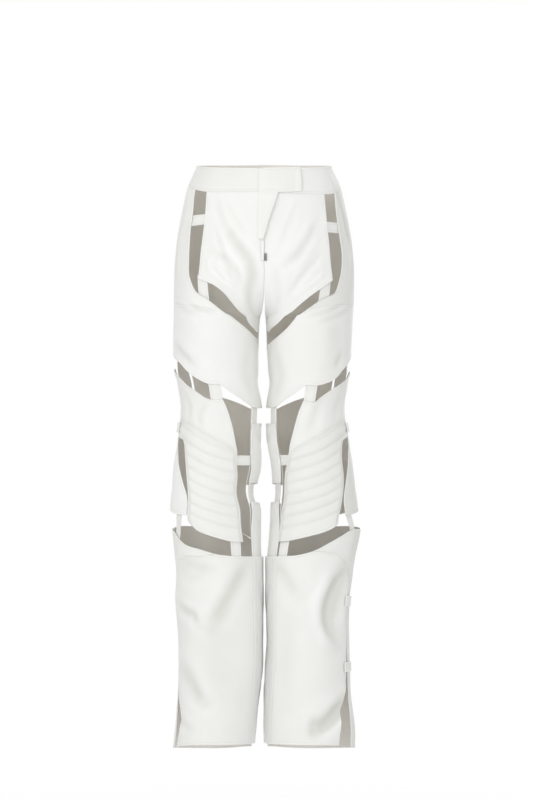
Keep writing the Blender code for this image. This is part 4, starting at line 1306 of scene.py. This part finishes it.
class PANTS_OT_knees(bpy.types.Operator):
    """Cut the knee tops and backs, and quilt the knee pads"""
    bl_idname = "pants.knees"
    bl_label = "Knees and pads"

    def execute(self, context):
        leather = context.scene.pants_leather
        for side_name, side in SIDES.items():
            panels = knee_panels(side)
            pad = panels.pop("knee_pad")
            for name, panel in panels.items():
                add_sheet(f"{name}_{side_name}", side, [panel], side_name)
            shell = Shell(side, pad, leather.pad_wall / MM, cell_size(), leather.rib_height / MM)
            piece = add_piece(f"knee_pad_{side_name}", [shell], side_name)
        return {"FINISHED"}


class PANTS_OT_calves(bpy.types.Operator):
    """Cut and sew the calf panels"""
    bl_idname = "pants.calves"
    bl_label = "Calves"

    def execute(self, context):
        for side_name, side in SIDES.items():
            for name, panel in calf_panels(side).items():
                add_sheet(f"{name}_{side_name}", side, [panel], side_name)
        return {"FINISHED"}


class PANTS_OT_straps(bpy.types.Operator):
    """Lay the straps that join the panels"""
    bl_idname = "pants.straps"
    bl_label = "Straps"

    def execute(self, context):
        for side_name, side in SIDES.items():
            for name, strap in leg_straps(side).items():
                add_sheet(f"{name}_{side_name}", side, [strap_panel(strap)], side_name)
        return {"FINISHED"}


class PANTS_OT_stitching(bpy.types.Operator):
    """Sew the rows of stitches on every piece made so far"""
    bl_idname = "pants.stitching"
    bl_label = "Stitching"

    def execute(self, context):
        for group in STITCH_ROWS:
            add_thread(group)
        return {"FINISHED"}


# The zip stop's thickness in walls of leather, and the rounding of its edges in metres
ZIP_STOP_WALLS = 1.2
ZIP_STOP_ROUNDING = 0.0004


class PANTS_OT_zip_stop(bpy.types.Operator):
    """Clamp the metal stop at the end of the fly's zip"""
    bl_idname = "pants.zip_stop"
    bl_label = "Zip stop"

    def execute(self, context):
        low, high = (np.array(corner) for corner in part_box("zip_stop"))
        centre, size = (low + high) / 2, high - low
        bpy.ops.object.select_all(action="DESELECT")
        bpy.ops.mesh.primitive_cube_add(size=1, location=centre)
        stop = context.active_object
        stop.name = "zip_stop_metal"
        stop.scale = (size[0], WALL * MM * ZIP_STOP_WALLS, size[2])
        bpy.ops.object.transform_apply(location=False, rotation=False, scale=True)
        bpy.ops.object.mode_set(mode="EDIT")
        bpy.ops.mesh.select_all(action="SELECT")
        bpy.ops.mesh.bevel(offset=ZIP_STOP_ROUNDING, segments=3, affect="EDGES")
        bpy.ops.object.mode_set(mode="OBJECT")
        bpy.ops.object.transform_apply(location=True, rotation=True, scale=True)
        stop.data.materials.append(finish_of("dark_nickel"))
        bpy.ops.object.shade_smooth_by_angle(angle=math.radians(40))
        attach(stop, "root")
        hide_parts("zip_stop")
        return {"FINISHED"}


# The camera's place to the side and how far it sees, in metres, and its sensor's height in millimetres
CAMERA_SIDE = 0.004
CAMERA_REACH = 100
SENSOR_HEIGHT = 36

# The floor that the camera sees is nearly as white as the backdrop below the trousers, and wholly so some
# way out: how white it is there, and where its way to white starts and how long it is, in metres
NEAR_WHITENESS = 0.9
WHITE_START = 0.35
WHITE_WAY = 0.9


def add_area_light(name, power, location, target, size):
    """A soft rectangular light at a place, turned to a target."""
    light = bpy.data.lights.new(name, "AREA")
    light.energy, light.shape = power, "RECTANGLE"
    light.size, light.size_y = size
    lamp = bpy.data.objects.new(name, light)
    lamp.location = location
    aim = np.array(target) - np.array(location)
    yaw = math.atan2(-aim[0], aim[1])
    pitch = math.atan2(math.hypot(aim[0], aim[1]), -aim[2])
    lamp.rotation_euler = (pitch, 0, yaw)
    bpy.context.scene.collection.objects.link(lamp)


class PANTS_OT_stage(bpy.types.Operator):
    """Set up the camera, the soft studio light and the pale floor"""
    bl_idname = "pants.stage"
    bl_label = "Stage"

    def execute(self, context):
        stage = context.scene.pants_stage
        camera = bpy.data.cameras.new("camera")
        camera.lens, camera.sensor_fit, camera.sensor_height = stage.lens, "VERTICAL", SENSOR_HEIGHT
        camera.clip_end = CAMERA_REACH
        stand = bpy.data.objects.new("camera", camera)
        stand.location = (CAMERA_SIDE, -stage.camera_distance, stage.camera_height)
        stand.rotation_euler = (math.pi / 2, 0, 0)
        context.scene.collection.objects.link(stand)
        context.scene.camera = stand
        middle = (0, 0, -0.5)
        add_area_light("key_light", stage.key_power, (-1.3, -3.0, 0.45), middle, (1.1, 1.8))
        add_area_light("side_light", stage.side_power, (-2.8, -1.4, 0), middle, (1.6, 2.6))
        add_area_light("fill_light", stage.fill_power, (1.7, -2.8, -0.3), middle, (1.0, 2.2))
        add_area_light("top_light", stage.top_power, (0, -0.6, 2.2), middle, (2.0, 2.0))
        add_area_light("back_light", stage.back_power, (0.9, 2.9, 0.5), middle, (2.0, 2.2))

        world = bpy.data.worlds.new("studio")
        tree = Tree(world)
        rays = [tree.node("ShaderNodeLightPath", {}, {}, ray)
                for ray in ("Is Camera Ray", "Is Glossy Ray", "Is Transmission Ray")]
        seen = (rays[0] + rays[1] + rays[2]).held()
        around = tree.node("ShaderNodeBackground", {}, {"Color": (1, 1, 1), "Strength": stage.ambient})
        white = tree.node("ShaderNodeBackground", {}, {"Color": (1, 1, 1), "Strength": 1.0})
        mixed = tree.node("ShaderNodeMixShader", {}, {0: seen, 1: around, 2: white})
        tree.node("ShaderNodeOutputWorld", {}, {"Surface": mixed})
        context.scene.world = world
        context.scene.view_settings.view_transform = "Standard"

        bpy.ops.object.select_all(action="DESELECT")
        bpy.ops.mesh.primitive_plane_add(size=60, location=(0, 0, stage.floor_height))
        floor = context.active_object
        floor.name = "floor"
        material = bpy.data.materials.new("pale_floor")
        tree = Tree(material)
        place = tree.place()
        distance = tree.node("ShaderNodeVectorMath", {"operation": "LENGTH"}, {0: place}, "Value")
        seen = tree.node("ShaderNodeLightPath", {}, {}, "Is Camera Ray")
        far = ((distance - WHITE_START) / WHITE_WAY).held()
        whiteness = NEAR_WHITENESS + far * (1 - NEAR_WHITENESS)
        matt = tree.node("ShaderNodeBsdfDiffuse", {}, {"Color": stage.floor_colour})
        glow = tree.node("ShaderNodeEmission", {}, {"Color": (1, 1, 1), "Strength": 1.0})
        mixed = tree.node("ShaderNodeMixShader", {}, {0: seen * whiteness, 1: matt, 2: glow})
        tree.surface(mixed)
        floor.data.materials.append(material)
        return {"FINISHED"}


class PANTS_PT_panel(bpy.types.Panel):
    """Lists the settings and the steps of making the trousers"""
    bl_idname = "PANTS_PT_panel"
    bl_label = "Biker Pants"
    bl_space_type = "VIEW_3D"
    bl_region_type = "UI"
    bl_category = "Biker Pants"

    def draw(self, context):
        layout = self.layout
        for group in (context.scene.pants_leather, context.scene.pants_stitches, context.scene.pants_stage):
            box = layout.box()
            for name in group.__annotations__:
                box.prop(group, name)
        for operator in OPERATORS:
            layout.operator(operator.bl_idname)


OPERATORS = (PANTS_OT_waist, PANTS_OT_hips, PANTS_OT_thighs, PANTS_OT_knees, PANTS_OT_calves,
             PANTS_OT_straps, PANTS_OT_stitching, PANTS_OT_zip_stop, PANTS_OT_stage)
CLASSES = (LeatherSettings, StitchSettings, StageSettings, *OPERATORS, PANTS_PT_panel)


def register():
    for cls in CLASSES:
        bpy.utils.register_class(cls)
    bpy.types.Scene.pants_leather = PointerProperty(type=LeatherSettings)
    bpy.types.Scene.pants_stitches = PointerProperty(type=StitchSettings)
    bpy.types.Scene.pants_stage = PointerProperty(type=StageSettings)


def unregister():
    del bpy.types.Scene.pants_stage
    del bpy.types.Scene.pants_stitches
    del bpy.types.Scene.pants_leather
    for cls in reversed(CLASSES):
        bpy.utils.unregister_class(cls)


def main():
    register()
    bpy.ops.pants.waist()
    bpy.ops.pants.hips()
    bpy.ops.pants.thighs()
    bpy.ops.pants.knees()
    bpy.ops.pants.calves()
    bpy.ops.pants.straps()
    bpy.ops.pants.stitching()
    bpy.ops.pants.zip_stop()
    bpy.ops.pants.stage()


if __name__ == "__main__":
    main()
